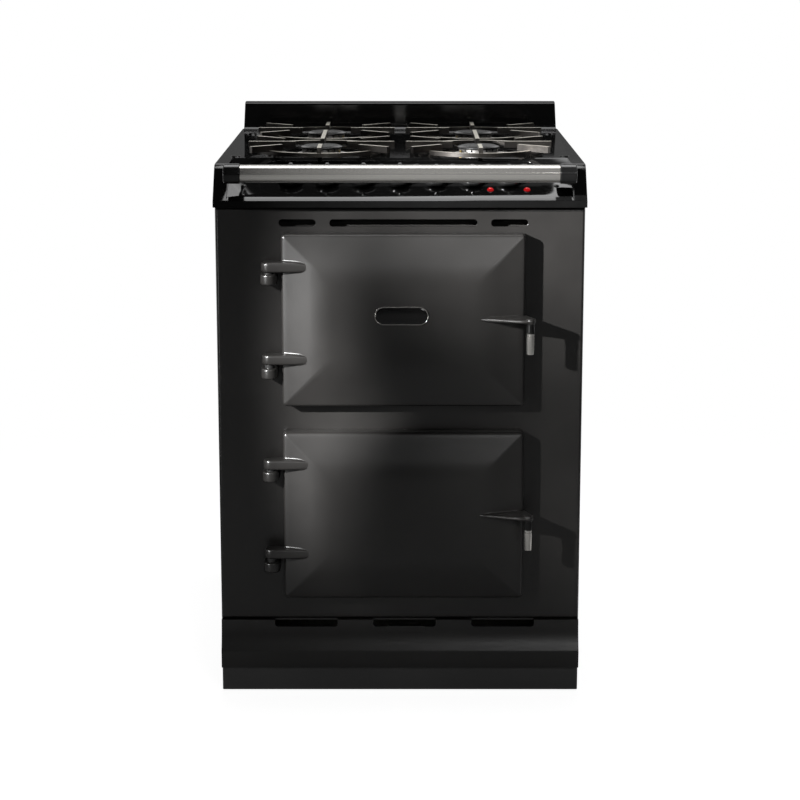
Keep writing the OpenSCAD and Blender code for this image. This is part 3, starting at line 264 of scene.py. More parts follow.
# %% [markdown]
# ## The finishes
# Vitreous enamel is glass fused to metal: dark, smooth and with a faint orange-peel ripple. The
# front is satin, the hob glossy. Chrome scatters a little, as worn plating does. Sheet, support
# iron, brass, burner alloy, plastics, the red lenses and the hidden materials follow.

# %% Finishes by material slot
FINISHES = {
    "enamel_front": finish("satin_black_enamel", GRAIN, grey(0.015, 1.06), grey(0.009, 1.06), (0.29, 0.35),
                           bump=0.35, values={"Fine": 700.0, "Broad": 9.0}, specular_ior_level=0.8),
    "enamel_gloss": finish("gloss_black_enamel", GRAIN, grey(0.006), grey(0.003), (0.05, 0.11),
                           bump=0.05, values={"Fine": 160.0, "Broad": 5.0}),
    "plinth_paint": finish("plinth_paint", GRAIN, grey(0.085), grey(0.065), (0.5, 0.65), bump=0.2),
    "chrome": finish("chrome_plate", BRUSHED, (0.82, 0.80, 0.76), (0.72, 0.70, 0.66), (0.08, 0.16),
                     metallic=0.94),
    "sheet_steel": finish("zinc_plated_sheet", BRUSHED, (0.52, 0.52, 0.5), (0.4, 0.4, 0.39), (0.3, 0.45),
                          values={"Stretch": (300.0, 300.0, 6.0)}, metallic=1.0),
    "support_iron": finish("grey_support_enamel", GRAIN, grey(0.12, 1.07), grey(0.06, 1.08), (0.28, 0.38),
                           bump=0.3, values={"Fine": 260.0, "Broad": 22.0}, metallic=1.0),
    "brass": finish("brass", BRUSHED, (0.62, 0.47, 0.2), (0.45, 0.33, 0.14), (0.22, 0.35), metallic=1.0),
    "burner_alloy": finish("cast_alloy", GRAIN, grey(0.4, 1.03), grey(0.26, 1.03), (0.35, 0.5),
                           bump=0.4, values={"Fine": 500.0, "Broad": 30.0}, metallic=0.9),
    "burner_enamel": finish("burner_cap_enamel", GRAIN, grey(0.02), grey(0.009), (0.2, 0.32), bump=0.2),
    "knob_plastic": finish("knob_plastic", GRAIN, grey(0.012), grey(0.006), (0.1, 0.18),
                           values={"Fine": 900.0}),
    "cap_plastic": finish("cap_plastic", GRAIN, grey(0.05), grey(0.03), (0.1, 0.16), values={"Fine": 900.0}),
    "neon_red": finish("red_lens", GRAIN, (0.8, 0.012, 0.018), (0.55, 0.006, 0.01), (0.12, 0.2),
                       emission_color=(0.8, 0.01, 0.012, 1), emission_strength=0.35),
    "liner_enamel": finish("oven_enamel", GRAIN, (0.045, 0.047, 0.055), (0.02, 0.021, 0.026), (0.25, 0.4),
                           bump=0.2, values={"Fine": 300.0}),
    # Painted shade: the wool is nearly black so the vents look dark inside, darker than the wool's own
    # brownish colour.
    "mineral_wool": finish("mineral_wool", GRAIN, (0.010, 0.009, 0.007), (0.005, 0.0045, 0.004),
                           (0.85, 0.95), bump=0.8, depth=0.002, values={"Fine": 900.0, "Broad": 40.0}),
    "rope_seal": finish("rope_seal", GRAIN, grey(0.2), grey(0.1), (0.8, 0.95), bump=0.8, depth=0.001),
    "terminal_plastic": finish("terminal_plastic", GRAIN, grey(0.03), grey(0.018), (0.45, 0.6), bump=0.2),
    "control_ceramic": finish("control_ceramic", GRAIN, grey(0.6, 1.03), grey(0.5, 1.04), (0.5, 0.6),
                              bump=0.2),
}
slot_of = {s["node"]: s["material_slot"] for s in frame["record"]["subparts"]}
for name, piece in nodes.items():
    piece.data.materials.clear()
    piece.data.materials.append(FINISHES[slot_of[name]])
print("finishes", len(FINISHES))

# %% [markdown]
# The tops of the supports are lighter than their sides: partly wear where pans rub them, partly a
# painted highlight where the overhead light falls. The mask for that is how far a face looks upwards,
# a smooth step between the two limits set below. The screws and the hinge pins are blackened, so
# they hardly show.


# %% Lighter support tops (wear and painted highlight) and blackened steel
# Painted highlight, partly also wear: support tops are made lighter where the overhead light falls on them.
TOP_WEAR_AND_HIGHLIGHT = (0.86, 0.82, 0.72)
TOP_LIGHT_FROM, TOP_LIGHT_TO = 0.35, 0.9


def light_tops_wear_and_highlight(material, light):
    """Mixes in a lighter colour where the surface's normal points up: wear and a painted highlight."""
    tree = material.node_tree
    surface = tree.nodes["Principled BSDF"]
    plain = surface.inputs["Base Color"].links[0].from_socket
    facing = add(tree, "NewGeometry")
    split = add(tree, "SeparateXYZ")
    step = add(tree, "MapRange", interpolation_type="SMOOTHSTEP")
    step.inputs["From Min"].default_value, step.inputs["From Max"].default_value = TOP_LIGHT_FROM, TOP_LIGHT_TO
    mix = add(tree, "Mix", data_type="RGBA")
    mix.inputs["B"].default_value = (*light, 1)
    chain(tree, (facing.outputs["Normal"], split.inputs[0]), (split.outputs["Z"], step.inputs["Value"]),
          (step.outputs[0], mix.inputs["Factor"]), (plain, mix.inputs["A"]),
          (mix.outputs["Result"], surface.inputs["Base Color"]))


light_tops_wear_and_highlight(FINISHES["support_iron"], TOP_WEAR_AND_HIGHLIGHT)
BLACKENED = finish("blackened_steel", GRAIN, grey(0.05), grey(0.025), (0.3, 0.45), bump=0.2, metallic=0.6)
for name in ("rail_screws", "hinge_pins"):
    nodes[name].data.materials[0] = BLACKENED
print("lightened support tops, blackened screws and pins")

# %% [markdown]
# ## Surfaces from arrays
# Each new piece is one or more grids of points. A grid closes round itself, and its first and
# last rows are closed with a face. All sizes are written in millimetres, as in the workshop, and
# places come from the CAD pieces' boxes.

# %% Grid to mesh
EDGE_ANGLE = math.radians(38)
MERGE, SLIVER = 1e-6, 1e-7


def skin(name, grids, slot, body, replaced=()):
    """One piece from several grids. A grid is an array (rings, points, 3) whose rings close; a
    face closes its first and last ring. Faces are turned outwards, and soft edges are smooth."""
    points, faces, base = [], [], 0
    for grid in grids:
        rings, count = grid.shape[:2]
        points.append(grid.reshape(-1, 3) * MM)
        i, j = np.meshgrid(np.arange(rings - 1), np.arange(count), indexing="ij")
        k = (j + 1) % count
        quads = np.stack([i * count + j, i * count + k, (i + 1) * count + k, (i + 1) * count + j], -1)
        faces += (quads.reshape(-1, 4) + base).tolist()
        faces.append((np.arange(count)[::-1] + base).tolist())
        faces.append((np.arange(count) + (rings - 1) * count + base).tolist())
        base += rings * count
    mesh = bpy.data.meshes.new(name)
    mesh.from_pydata(np.concatenate(points).tolist(), [], faces)
    work = bmesh.new()
    work.from_mesh(mesh)
    bmesh.ops.remove_doubles(work, verts=work.verts, dist=MERGE)
    bmesh.ops.dissolve_degenerate(work, edges=work.edges, dist=SLIVER)
    bmesh.ops.recalc_face_normals(work, faces=work.faces)
    work.to_mesh(mesh)
    work.free()
    mesh.shade_smooth()
    mesh.set_sharp_from_angle(angle=EDGE_ANGLE)
    mesh.materials.append(FINISHES[slot])
    piece = bpy.data.objects.new(name, mesh)
    scene.collection.objects.link(piece)
    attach(piece, body)
    if replaced:
        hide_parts(*replaced)
    return piece


def soft_rect(width, height, radius, steps=8):
    """Closed outline of a rectangle with round corners, as (points, 2), centred on the origin."""
    turn = np.linspace(0, math.pi / 2, steps)
    arc = np.stack([np.cos(turn), np.sin(turn)], -1) * radius
    corner = np.array([width / 2 - radius, height / 2 - radius])
    quarter = arc + corner
    flip = np.array([-1, 1])
    return np.concatenate([quarter, (quarter * flip)[::-1], -quarter, (quarter * -flip)[::-1]])


def power_ring(half_w, half_h, power, count=32):
    """Closed superellipse: with power 2 an ellipse, with more a rectangle with soft corners."""
    turn = np.linspace(0, 2 * math.pi, count, endpoint=False)
    c, s = np.cos(turn), np.sin(turn)
    return np.stack([half_w * np.sign(c) * np.abs(c) ** (2 / power),
                     half_h * np.sign(s) * np.abs(s) ** (2 / power)], -1)


# %% Rounded copies of CAD nodes
CAD_MERGE, FLAT_ANGLE, ROUND_ANGLE = 2e-5, math.radians(1), math.radians(30)
ROUND_STEPS = 3


def soften(node, width):
    """A copy of a CAD node with its doubles merged, its flat faces joined and its edges rounded."""
    source = nodes[node]
    mesh = source.data.copy()
    mesh.name = node + "_finished"
    work = bmesh.new()
    work.from_mesh(mesh)
    bmesh.ops.remove_doubles(work, verts=work.verts, dist=CAD_MERGE)
    bmesh.ops.dissolve_limit(work, angle_limit=FLAT_ANGLE, verts=work.verts, edges=work.edges)
    work.to_mesh(mesh)
    work.free()
    mesh.shade_smooth()
    mesh.set_sharp_from_angle(angle=ROUND_ANGLE)
    piece = bpy.data.objects.new(mesh.name, mesh)
    scene.collection.objects.link(piece)
    bevel = piece.modifiers.new("round", "BEVEL")
    bevel.width, bevel.segments = width * MM, ROUND_STEPS
    bevel.limit_method, bevel.angle_limit = "ANGLE", ROUND_ANGLE
    bevel.use_clamp_overlap = True
    bevel.harden_normals = True
    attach(piece, source["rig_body"])
    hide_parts(node)
    return piece


def box_mm(node):
    """Lowest and highest corner of a CAD node, in millimetres."""
    low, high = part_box(node)
    return np.array(low) / MM, np.array(high) / MM


# %% [markdown]
# ## The doors
# Each door is one iron casting: a flat crown whose long straight slopes meet in mitres at the
# corners, under thick enamel that rounds every edge. The surface is a stack of rounded
# rectangles. A ring that lies further in stands higher, up a round edge, a slope and a wide bend.

# %% Door sizes
FACE = box_mm("front_plate")[0][1]
DOOR_GAP, DOOR_EDGE, DOOR_CROWN = 3, 25, 42
SLOPE_RUN, BEND_RUN = 64, 20
DOOR_W, DOOR_H = 395, 284
EDGE_R, PLAN_R = 6.0, 7.0
BACK_RIM = [(40, 2.0), (8.3, 2.0), (8.3, 0.0), (1.2, 0.0), (0.3, 0.4), (0.0, 1.2)]
FLAT_FROM, FLAT_REACH = 40, 74
ROLL_ZONE, ROLL_MIN = 5, 0.6
CORNER_START, CORNER_OPENING = 2.0, 0.07
door_low, door_high = box_mm("door_upper_inner")
door_x = (door_low[0] + door_high[0]) / 2
DOORS = {name: sum(box_mm(name + "_inner")[i][2] for i in (0, 1)) / 2
         for name in ("door_upper", "door_lower")}
print("doors at x", round(door_x, 2), "z", DOORS)


# %% Door shells
def door_profile():
    """Inset from the door's edge, height over its back: back rim, side, round edge, then a straight
    slope and a wide bend, both tangent to their neighbours."""
    edge, crown = DOOR_EDGE - DOOR_GAP, DOOR_CROWN - DOOR_GAP
    lean = math.atan2(crown - edge, SLOPE_RUN)
    bend_r = BEND_RUN / math.tan(lean / 2)
    centre_h = edge + EDGE_R * math.tan(lean) - EDGE_R / math.cos(lean)
    turn = np.linspace(0, math.pi / 2 - lean, 9)
    round_edge = np.stack([EDGE_R - EDGE_R * np.cos(turn), centre_h + EDGE_R * np.sin(turn)], -1)
    along = np.linspace(0.1, 1, 7) * (SLOPE_RUN - BEND_RUN * math.cos(lean) - EDGE_R) + EDGE_R
    slope = np.stack([along, edge + along * math.tan(lean)], -1)
    bend = np.linspace(lean, 0, 15)[1:]
    crest_x = SLOPE_RUN + BEND_RUN - bend_r * np.sin(bend)
    crest = np.stack([crest_x, crown - bend_r + bend_r * np.cos(bend)], -1)
    flat = [(SLOPE_RUN + FLAT_FROM, crown), (SLOPE_RUN + FLAT_REACH, crown)]
    return np.concatenate([BACK_RIM, round_edge, slope, crest, flat])


def corner_radius(inset):
    """Corner radius of a door ring: it shrinks over the rolled edge, then opens with the inset."""
    if inset < ROLL_ZONE:
        return max(PLAN_R - inset, ROLL_MIN)
    return min(CORNER_START + CORNER_OPENING * inset, DOOR_H / 2 - inset - 0.5)


def door_rings(z):
    """Rounded rectangles along the profile, one ring for each of its points."""
    rings = []
    for inset, height in door_profile():
        outline = soft_rect(DOOR_W - 2 * inset, DOOR_H - 2 * inset, corner_radius(inset), 7)
        y = np.full(len(outline), FACE - DOOR_GAP - height)
        rings.append(np.stack([outline[:, 0] + door_x, y, outline[:, 1] + z], -1))
    return np.array(rings)


def slope_front(x):
    """Depth of the door's front face at x, away from its upper and lower slopes."""
    inset = DOOR_W / 2 - np.abs(np.asarray(x) - door_x)
    insets, heights = door_profile()[len(BACK_RIM):].T
    return FACE - DOOR_GAP - np.interp(inset, insets, heights)


# %% [markdown]
# The hinge arms and the handle fin are cast on. Each is a row of superellipses along X, so its
# edges are full and soft, as thick enamel leaves them.

# %% Sizes of arms and fins
HINGE_OVER, HINGE_OUT = 20, 26
HINGE_X, HINGE_Y = door_x - DOOR_W / 2 - HINGE_OVER, FACE - HINGE_OUT
ARM_R, ARM_H, ARM_UP, ARM_PITCH = 12.0, 17.0, 89.5, 152.0
ARM_LEN, ARM_SINK, ARM_SINK_RUN = 68, 2.4, 66
ARM_TAPER, ARM_TAPER_FROM, ARM_TAPER_RUN = 0.3, 30, 36
ARM_NOSE, ARM_POWER_END, ARM_POWER = 3.4, 3, 5
ARM_FILLET_R, ARM_FILLET_FROM, ARM_FILLET_TO, ARM_END = 3.6, 20.5, 57, 4
GRIP_OVER, GRIP_OUT = 7, 54
GRIP_X, GRIP_Y = door_x + DOOR_W / 2 + GRIP_OVER, FACE - GRIP_OUT
FIN_UP, FIN_T, FIN_RUN, BOSS_R = 5.0, 9.0, 84.0, 8.3
FIN_SUNK, FIN_CLIMB_END = 2, 12
FIN_BACK_ROOT, FIN_BACK_EDGE, FIN_BACK_PAST = 33, 19, 14
FIN_EDGE_X, FIN_PAST_X = 14, 5
FIN_GROW_AT, FIN_GROW = [0, 0.25, 1], [0.45, 0.8, 1.0]
FIN_SHORT, FIN_POWER = 0.4, 3.0
FIN_FILLET_R, FIN_FILLET_FROM, FIN_FILLET_TO = 3.0, 10, 17
NECK_R, NECK_LEN, GRIP_LEN, GRIP_R = 6.8, 19.0, 35.0, 6.25
print("hinge axis", round(HINGE_X, 1), "grip axis", round(GRIP_X, 1))


# %% Hinge arms
def along_x(stations, z, count=32):
    """Sections across X. A station is (x, middle y, half depth, half height, power)."""
    rings = []
    for x, y, half_d, half_h, power in stations:
        ring = power_ring(half_d, half_h, power, count)
        rings.append(np.stack([np.full(count, x), ring[:, 0] + y, ring[:, 1] + z], -1))
    return np.array(rings)


def arm_half(x):
    """Half height of an arm at x: full, then less towards its end in the slope."""
    return ARM_H / 2 * (1 - ARM_TAPER * np.clip((x - HINGE_X - ARM_TAPER_FROM) / ARM_TAPER_RUN, 0, 1) ** 2)


def arm_front(x):
    """Front face of an arm at x: it sinks by some two millimetres towards its end."""
    return HINGE_Y - ARM_R + ARM_SINK * np.clip((x - HINGE_X) / ARM_SINK_RUN, 0, 1) ** 2


def arm(z):
    """Round end about the hinge, a straight bar, and a run-out into the door's slope."""
    stations = []
    for t in np.linspace(0.02, 1, 9):
        rise = math.sin(t * math.pi / 2)
        half = ARM_H / 2 - ARM_NOSE * (1 - rise) ** 1.5
        power = ARM_POWER_END + (ARM_POWER - ARM_POWER_END) * t
        stations.append((HINGE_X - ARM_R * math.cos(t * math.pi / 2), HINGE_Y, ARM_R * rise, half, power))
    for x in HINGE_X + np.linspace(0, ARM_LEN, 14)[1:]:
        front, back = arm_front(x), HINGE_Y + ARM_R
        stations.append((x, (front + back) / 2, (back - front) / 2, arm_half(x), ARM_POWER))
    return along_x(stations, z)


# %% [markdown]
# Where an arm or a fin meets the slope, the foundry leaves a hollow fillet, and the enamel fills
# it softly. It catches a thin line of light in the photograph.


# %% Fillets
def fillet(path, outward, proud, radius, z):
    """Hollow fillet round a cast-on arm or fin. Its section is a quarter circle that is tangent to
    the slope and to the arm's side; it fades where the arm no longer stands proud. Its last row
    lies inside the casting, so the strip is closed."""
    turn = np.linspace(0, math.pi / 2, 7)
    size = np.minimum(radius, proud * 0.9)[:, None]
    buried, overlap, lift = 1.5, 0.15, 0.1
    away = np.concatenate([size * (1 - np.cos(turn)) - overlap, 0 * size - buried], 1)
    high = np.concatenate([size * (1 - np.sin(turn)), 0 * size - buried], 1)
    x = path[:, :1] + outward[:, :1] * away
    return np.stack([x, slope_front(x) - high + lift, path[:, 1:] + outward[:, 1:] * away + z], -1)


def arm_fillet(z):
    """The path runs along the arm's top, round its end and back under it."""
    x = HINGE_X + np.linspace(ARM_FILLET_FROM, ARM_FILLET_TO, 16)
    end_x, end_r = x[-1], arm_half(x[-1])
    turn = np.linspace(math.pi / 2, -math.pi / 2, 9)[1:-1]
    round_end = np.stack([np.cos(turn), np.sin(turn)], -1)
    top = np.stack([x, arm_half(x) - 0.4], -1)
    path = np.concatenate([top, round_end * [ARM_END, end_r] + [end_x, 0], (top * [1, -1])[::-1]])
    up, down = np.tile([0, 1], (len(x), 1)), np.tile([0, -1], (len(x), 1))
    outward = np.concatenate([up, round_end, down])
    proud = np.maximum(slope_front(path[:, 0]) - arm_front(path[:, 0]), 0.05)
    return fillet(path, outward, proud, ARM_FILLET_R, z)


def fin_fillet(z):
    """Fillet along the top of a fin, as far as the door's round edge."""
    x = np.linspace(GRIP_X - FIN_RUN + FIN_FILLET_FROM, GRIP_X - FIN_FILLET_TO, 20)
    path = np.stack([x, fin_half(x) - 0.3], -1)
    fade = np.interp(x, x[[0, 4, -2, -1]], [0.2, 1, 1, 0.3])
    proud = np.maximum(slope_front(x) - fin_front(x), 0.05) * fade
    return fillet(path, np.tile([0.0, 1.0], (len(x), 1)), proud, FIN_FILLET_R, z + FIN_UP)


# %% Handle fins
def fin_front(x):
    """Front edge of a fin at x: it climbs out of the crown, and bends round at the boss."""
    climb = np.interp(x, [GRIP_X - FIN_RUN, GRIP_X - FIN_CLIMB_END, GRIP_X], [0, 1, 1])
    past = np.clip((x - GRIP_X) / BOSS_R, 0, 1)
    bend = BOSS_R * (1 - np.sqrt(1 - past ** 2))
    return (FACE - DOOR_CROWN + FIN_SUNK) * (1 - climb) + (GRIP_Y - BOSS_R) * climb + bend


def fin_half(x):
    """Half thickness of a fin at x: it grows from its root to the boss."""
    t = (x - GRIP_X + FIN_RUN) / (FIN_RUN + BOSS_R - FIN_SHORT)
    return FIN_T / 2 * np.interp(t, FIN_GROW_AT, FIN_GROW)


def fin(z):
    """A thin blade: its front edge climbs out of the crown to the boss, its back edge stays in the
    door and then runs out to the boss beyond the door's edge."""
    x = np.linspace(GRIP_X - FIN_RUN, GRIP_X + BOSS_R - FIN_SHORT, 22)
    front, half = fin_front(x), fin_half(x)
    back = np.interp(x, [GRIP_X - FIN_RUN, GRIP_X - FIN_EDGE_X, GRIP_X - FIN_PAST_X, GRIP_X + BOSS_R],
                     [FACE - FIN_BACK_ROOT, FACE - FIN_BACK_EDGE, FACE - FIN_BACK_PAST, GRIP_Y + 1])
    middle, depth = (front + back) / 2, (back - front) / 2
    return along_x(zip(x, middle, depth, half, np.full(len(x), FIN_POWER)), z + FIN_UP)


# %% Turned pieces
def turned(profile, x, y, z=0.0, count=48):
    """Rings from a profile of (radius, height) points round a vertical axis at x, y."""
    turn = np.linspace(0, 2 * math.pi, count, endpoint=False)
    circle = np.stack([np.cos(turn), np.sin(turn)], -1)
    rings = [np.c_[circle * max(r, 0.01) + [x, y], np.full(count, z + h)] for r, h in profile]
    return np.array(rings)


def rounded(r0, r1, h0, h1, steps=5):
    """A quarter turn of a profile from (r0, h0) to (r1, h1), leaving r0 upright."""
    t = np.linspace(0, math.pi / 2, steps)
    return [(r1 + (r0 - r1) * math.cos(a), h0 + (h1 - h0) * math.sin(a)) for a in t]


def fin_boss(z):
    """Turned boss at the fin's end: its edge is an ellipse's half, so it is full and round."""
    half, roll = FIN_T / 2 + 0.4, 3.2
    turn = np.linspace(-math.pi / 2, math.pi / 2, 11)
    profile = [(BOSS_R - roll + roll * math.cos(a), half * math.sin(a)) for a in turn]
    return turned(profile, GRIP_X, GRIP_Y, z + FIN_UP, 40)


def fin_neck(z):
    """Turned neck under the boss, with a shallow waist, that holds the grip."""
    profile = [(NECK_R, -NECK_LEN), (NECK_R, -NECK_LEN + 9), (NECK_R - 0.5, -NECK_LEN + 12), (NECK_R, 0)]
    return turned(profile, GRIP_X, GRIP_Y, z + FIN_UP, 40)


# %% [markdown]
# A casting is the sum of its closed forms, which run into one another as iron does in the mould.
# The neck under the boss is a glossy black collar of its own.

# %% Door castings
for name, z in DOORS.items():
    high, low = z + ARM_UP, z + ARM_UP - ARM_PITCH
    grids = [door_rings(z), arm(high), arm(low), fin(z), fin_fillet(z), fin_boss(z), arm_fillet(high),
             arm_fillet(low)]
    piece = skin(name + "_casting", grids, "enamel_front", name, [name])
    skin(name + "_neck", [fin_neck(z)], "enamel_gloss", name)
    print(piece.name, len(piece.data.polygons), "faces")

# %% [markdown]
# The lugs on the front plate, the chrome grips and the badge are small, and their round edges
# catch the lamps. A turned piece is a profile carried round an axis.


# %% Lugs
LUG_H, LUG_R, LUG_SOFT = 17.5, 13.5, 3.2
LUG_GAPS = (3, 6)


def lug(z_low, z_high):
    """A barrel whose back runs straight to the plate; its top and bottom edges are rounded."""
    rings = []
    edge = np.linspace(0, math.pi / 2, 6)
    steps = [(LUG_SOFT * (1 - math.sin(a)), z_low + LUG_SOFT * (1 - math.cos(a))) for a in edge]
    steps += [(inset, z_low + z_high - h) for inset, h in steps[::-1]]
    turn = np.linspace(math.pi, 2 * math.pi, 25)
    for inset, h in steps:
        front = np.stack([np.cos(turn), np.sin(turn)], -1) * (LUG_R - inset) + [HINGE_X, HINGE_Y]
        back = np.array([[HINGE_X + LUG_R - inset, FACE + 1], [HINGE_X - LUG_R + inset, FACE + 1]])
        outline = np.concatenate([front, back])
        rings.append(np.c_[outline, np.full(len(outline), h)])
    return np.array(rings)


grids = []
for z in DOORS.values():
    for under, gap in zip((ARM_UP, ARM_UP - ARM_PITCH), LUG_GAPS):
        top = under - ARM_H / 2 - gap
        grids.append(lug(z + top - LUG_H, z + top))
skin("hinge_lugs_cast", grids, "enamel_front", "cooker", ["hinge_lugs"])
print("lugs", len(grids))

# %% Grips
GRIP_PROFILE = [
    (2.0, 0.0), (GRIP_R - 1.0, 0.0), (GRIP_R - 0.3, 0.3), (GRIP_R, 1.0), (GRIP_R, 29.5),
    (GRIP_R - 0.7, 30.0), (GRIP_R - 0.7, 31.3), (GRIP_R, 31.8), (GRIP_R, 34.0),
    (GRIP_R - 1.0, GRIP_LEN), (2.0, GRIP_LEN),
]
for name, z in DOORS.items():
    foot = z + FIN_UP - NECK_LEN - GRIP_LEN
    grip = turned(GRIP_PROFILE, GRIP_X, GRIP_Y, foot)
    skin(name + "_chrome_grip", [grip], "chrome", name, [name + "_grip"])
print("grips of", GRIP_LEN, "mm with one groove")

# %% [markdown]
# The badge is a blank plate: a thin plated rim round a dark, slightly domed field. On the real
# door it is pinned to the crown. It carries no name here.

# %% Badge
badge_low, badge_high = box_mm("badge_plate")
BADGE_X, BADGE_Z = (badge_low[0] + badge_high[0]) / 2, (badge_low[2] + badge_high[2]) / 2
BADGE_W, BADGE_H = badge_high[0] - badge_low[0], badge_high[2] - badge_low[2]
BADGE_RIM = [
    (2.6, 0.2), (0.4, 0.2), (0.0, 0.6), (0.0, 1.4), (0.3, 1.9), (0.8, 2.1), (1.3, 1.9), (1.6, 1.4),
    (1.7, 0.8), (2.6, 0.8),
]
BADGE_FIELD = [(1.6, 0.3), (1.6, 0.9), (2.4, 0.9), (2.8, 1.15), (6.0, 1.5), (10.0, 1.65), (13.0, 1.7)]


def plate_rings(steps):
    """Stadium outlines round the badge's centre: a step is (inset, distance before the crown)."""
    rings = []
    for inset, out in steps:
        outline = soft_rect(BADGE_W - 2 * inset, BADGE_H - 2 * inset, BADGE_H / 2 - inset - 0.05, 14)
        y = np.full(len(outline), FACE - DOOR_CROWN - out)
        rings.append(np.stack([outline[:, 0] + BADGE_X, y, outline[:, 1] + BADGE_Z], -1))
    return np.array(rings)


skin("badge_rim", [plate_rings(BADGE_RIM)], "chrome", "door_upper", ["badge_plate"])
skin("badge_field", [plate_rings(BADGE_FIELD)], "enamel_gloss", "door_upper")
print("badge", round(BADGE_W, 1), "x", round(BADGE_H, 1), "mm")

# %% [markdown]
# ## The controls
# The panel leans back by about twenty-one degrees. A knob is one moulding of hard plastic: a
# turned skirt with a bar across it. It is made flat on the bench, with its axis upright, and then
# carried on to the slope. The four gas knobs stand higher, because they press in.

# %% The slope's own frame
DECK_BACK, APRON_OUT, APRON_DROP = 124, 5, 49
DECK_Y, APRON_Y = FACE + DECK_BACK, FACE - APRON_OUT
DECK_Z = box_mm("hob_top")[1][2]
SLOPE = math.atan2(APRON_DROP, DECK_Y - APRON_Y)
SLOPE_Y, SLOPE_Z = (DECK_Y + APRON_Y) / 2, DECK_Z - APRON_DROP / 2
KNOB_PITCH, KNOB_R, KNOB_H, SKIRT_H = 59.5, 21.0, 28.0, 8.0
KNOB_IN = 50
KNOB_BACK = (FACE + KNOB_IN - SLOPE_Y) / math.cos(SLOPE)
KNOB_SUNK, GAS_PRESS, TURN_GAP, GAS_KNOBS = 3, 3.3, 1, 4
BAR_HALF, BAR_FOOT, BAR_TAPER, BAR_POWER = 4.5, 3, 0.16, 5
BAR_SHORT, BAR_END_SHORT, BAR_END_POWER = 1.6, 1.55, 6
BAR_CROWN, BAR_END_H = 1.5, 0.86
RIM_IN, RIM_DOWN = 2.4, 2.6
print("slope of", round(math.degrees(SLOPE), 2), "degrees, deck at", round(DECK_Z, 1))


def on_slope(grid):
    """Carries points of the slope's own frame into the row frame."""
    x, y, z = grid[..., 0], grid[..., 1], grid[..., 2]
    return np.stack([x, SLOPE_Y + y * math.cos(SLOPE) - z * math.sin(SLOPE),
                     SLOPE_Z + y * math.sin(SLOPE) + z * math.cos(SLOPE)], -1)


# %% Knobs
def knob_skirt(x, foot):
    """Turned disc with a round rim, a shallow groove and a dished face."""
    rim = rounded(KNOB_R, KNOB_R - RIM_IN, SKIRT_H - RIM_DOWN, SKIRT_H)
    groove = [(KNOB_R - 3.6, SKIRT_H - 0.1), (KNOB_R - 4.2, SKIRT_H - 0.7), (KNOB_R - 4.8, SKIRT_H - 0.2)]
    dish = [(12, SKIRT_H - 0.6), (6, SKIRT_H - 0.8), (1, SKIRT_H - 0.8)]
    profile = [(6, 0.0), (KNOB_R - 0.6, 0.0), (KNOB_R, 0.8), *rim, *groove, *dish]
    return on_slope(turned(profile, x, KNOB_BACK, foot, 64))


def knob_bar(x, foot):
    """A bar across the knob: each section is a soft rectangle that narrows upwards by BAR_TAPER,
    its top is one long arc, and its ends are round."""
    rings = []
    crown = KNOB_R * BAR_CROWN
    for t in np.linspace(-1, 1, 25):
        y = (KNOB_R - BAR_SHORT) * math.sin(t * math.pi / 2)
        end = math.sqrt(max(1 - (abs(y) / (KNOB_R - BAR_END_SHORT)) ** BAR_END_POWER, 0.0))
        top = KNOB_H - crown + math.sqrt(crown ** 2 - y ** 2)
        half_h = (top - BAR_FOOT) / 2 * (BAR_END_H + (1 - BAR_END_H) * end)
        ring = power_ring(max(BAR_HALF * end, 0.05), half_h, BAR_POWER, 28)
        taper = 1 - BAR_TAPER * (ring[:, 1] + half_h) / (2 * half_h)
        height = ring[:, 1] + BAR_FOOT + half_h + foot
        rings.append(np.stack([ring[:, 0] * taper + x, np.full(len(ring), KNOB_BACK + y), height], -1))
    return on_slope(np.array(rings))


for i in range(1, 8):
    foot = (GAS_PRESS if i <= GAS_KNOBS else TURN_GAP) - KNOB_SUNK
    x = (i - 4) * KNOB_PITCH
    knob = f"knob_{i}"
    skin("control_" + knob, [knob_skirt(x, foot), knob_bar(x, foot)], "knob_plastic", knob, [knob])
print("knobs", i)

# %% [markdown]
# The handrail is drawn tube, polished and plated. Its bands of light are the backdrop, the dark
# room and the floor, each seen in one strip of the round.

# %% Handrail
RAIL_OUT, RAIL_DOWN = 54, 5.5
RAIL_Y, RAIL_Z = FACE - RAIL_OUT, DECK_Z - RAIL_DOWN
RAIL_R, RAIL_LEN, RAIL_SOFT = 14.0, 507.0, 0.6


def rail(count=96):
    """A round bar along X with slightly rounded ends."""
    turn = np.linspace(0, 2 * math.pi, count, endpoint=False)
    end, small = RAIL_LEN / 2, RAIL_R - RAIL_SOFT
    rings = []
    for x, r in ((-end, small), (RAIL_SOFT - end, RAIL_R), (end - RAIL_SOFT, RAIL_R), (end, small)):
        rings.append(np.stack([np.full(count, x), RAIL_Y + r * np.cos(turn), RAIL_Z + r * np.sin(turn)], -1))
    return np.array(rings)


skin("handrail_tube", [rail()], "chrome", "cooker", ["handrail"])
print("rail of", RAIL_LEN, "mm")

# %% [markdown]
# ## Pressed and cast parts
# Sheet that has been pressed and then enamelled has no sharp edge. The modifier rounds each
# edge of these copies, and their normals stay true on the flats.

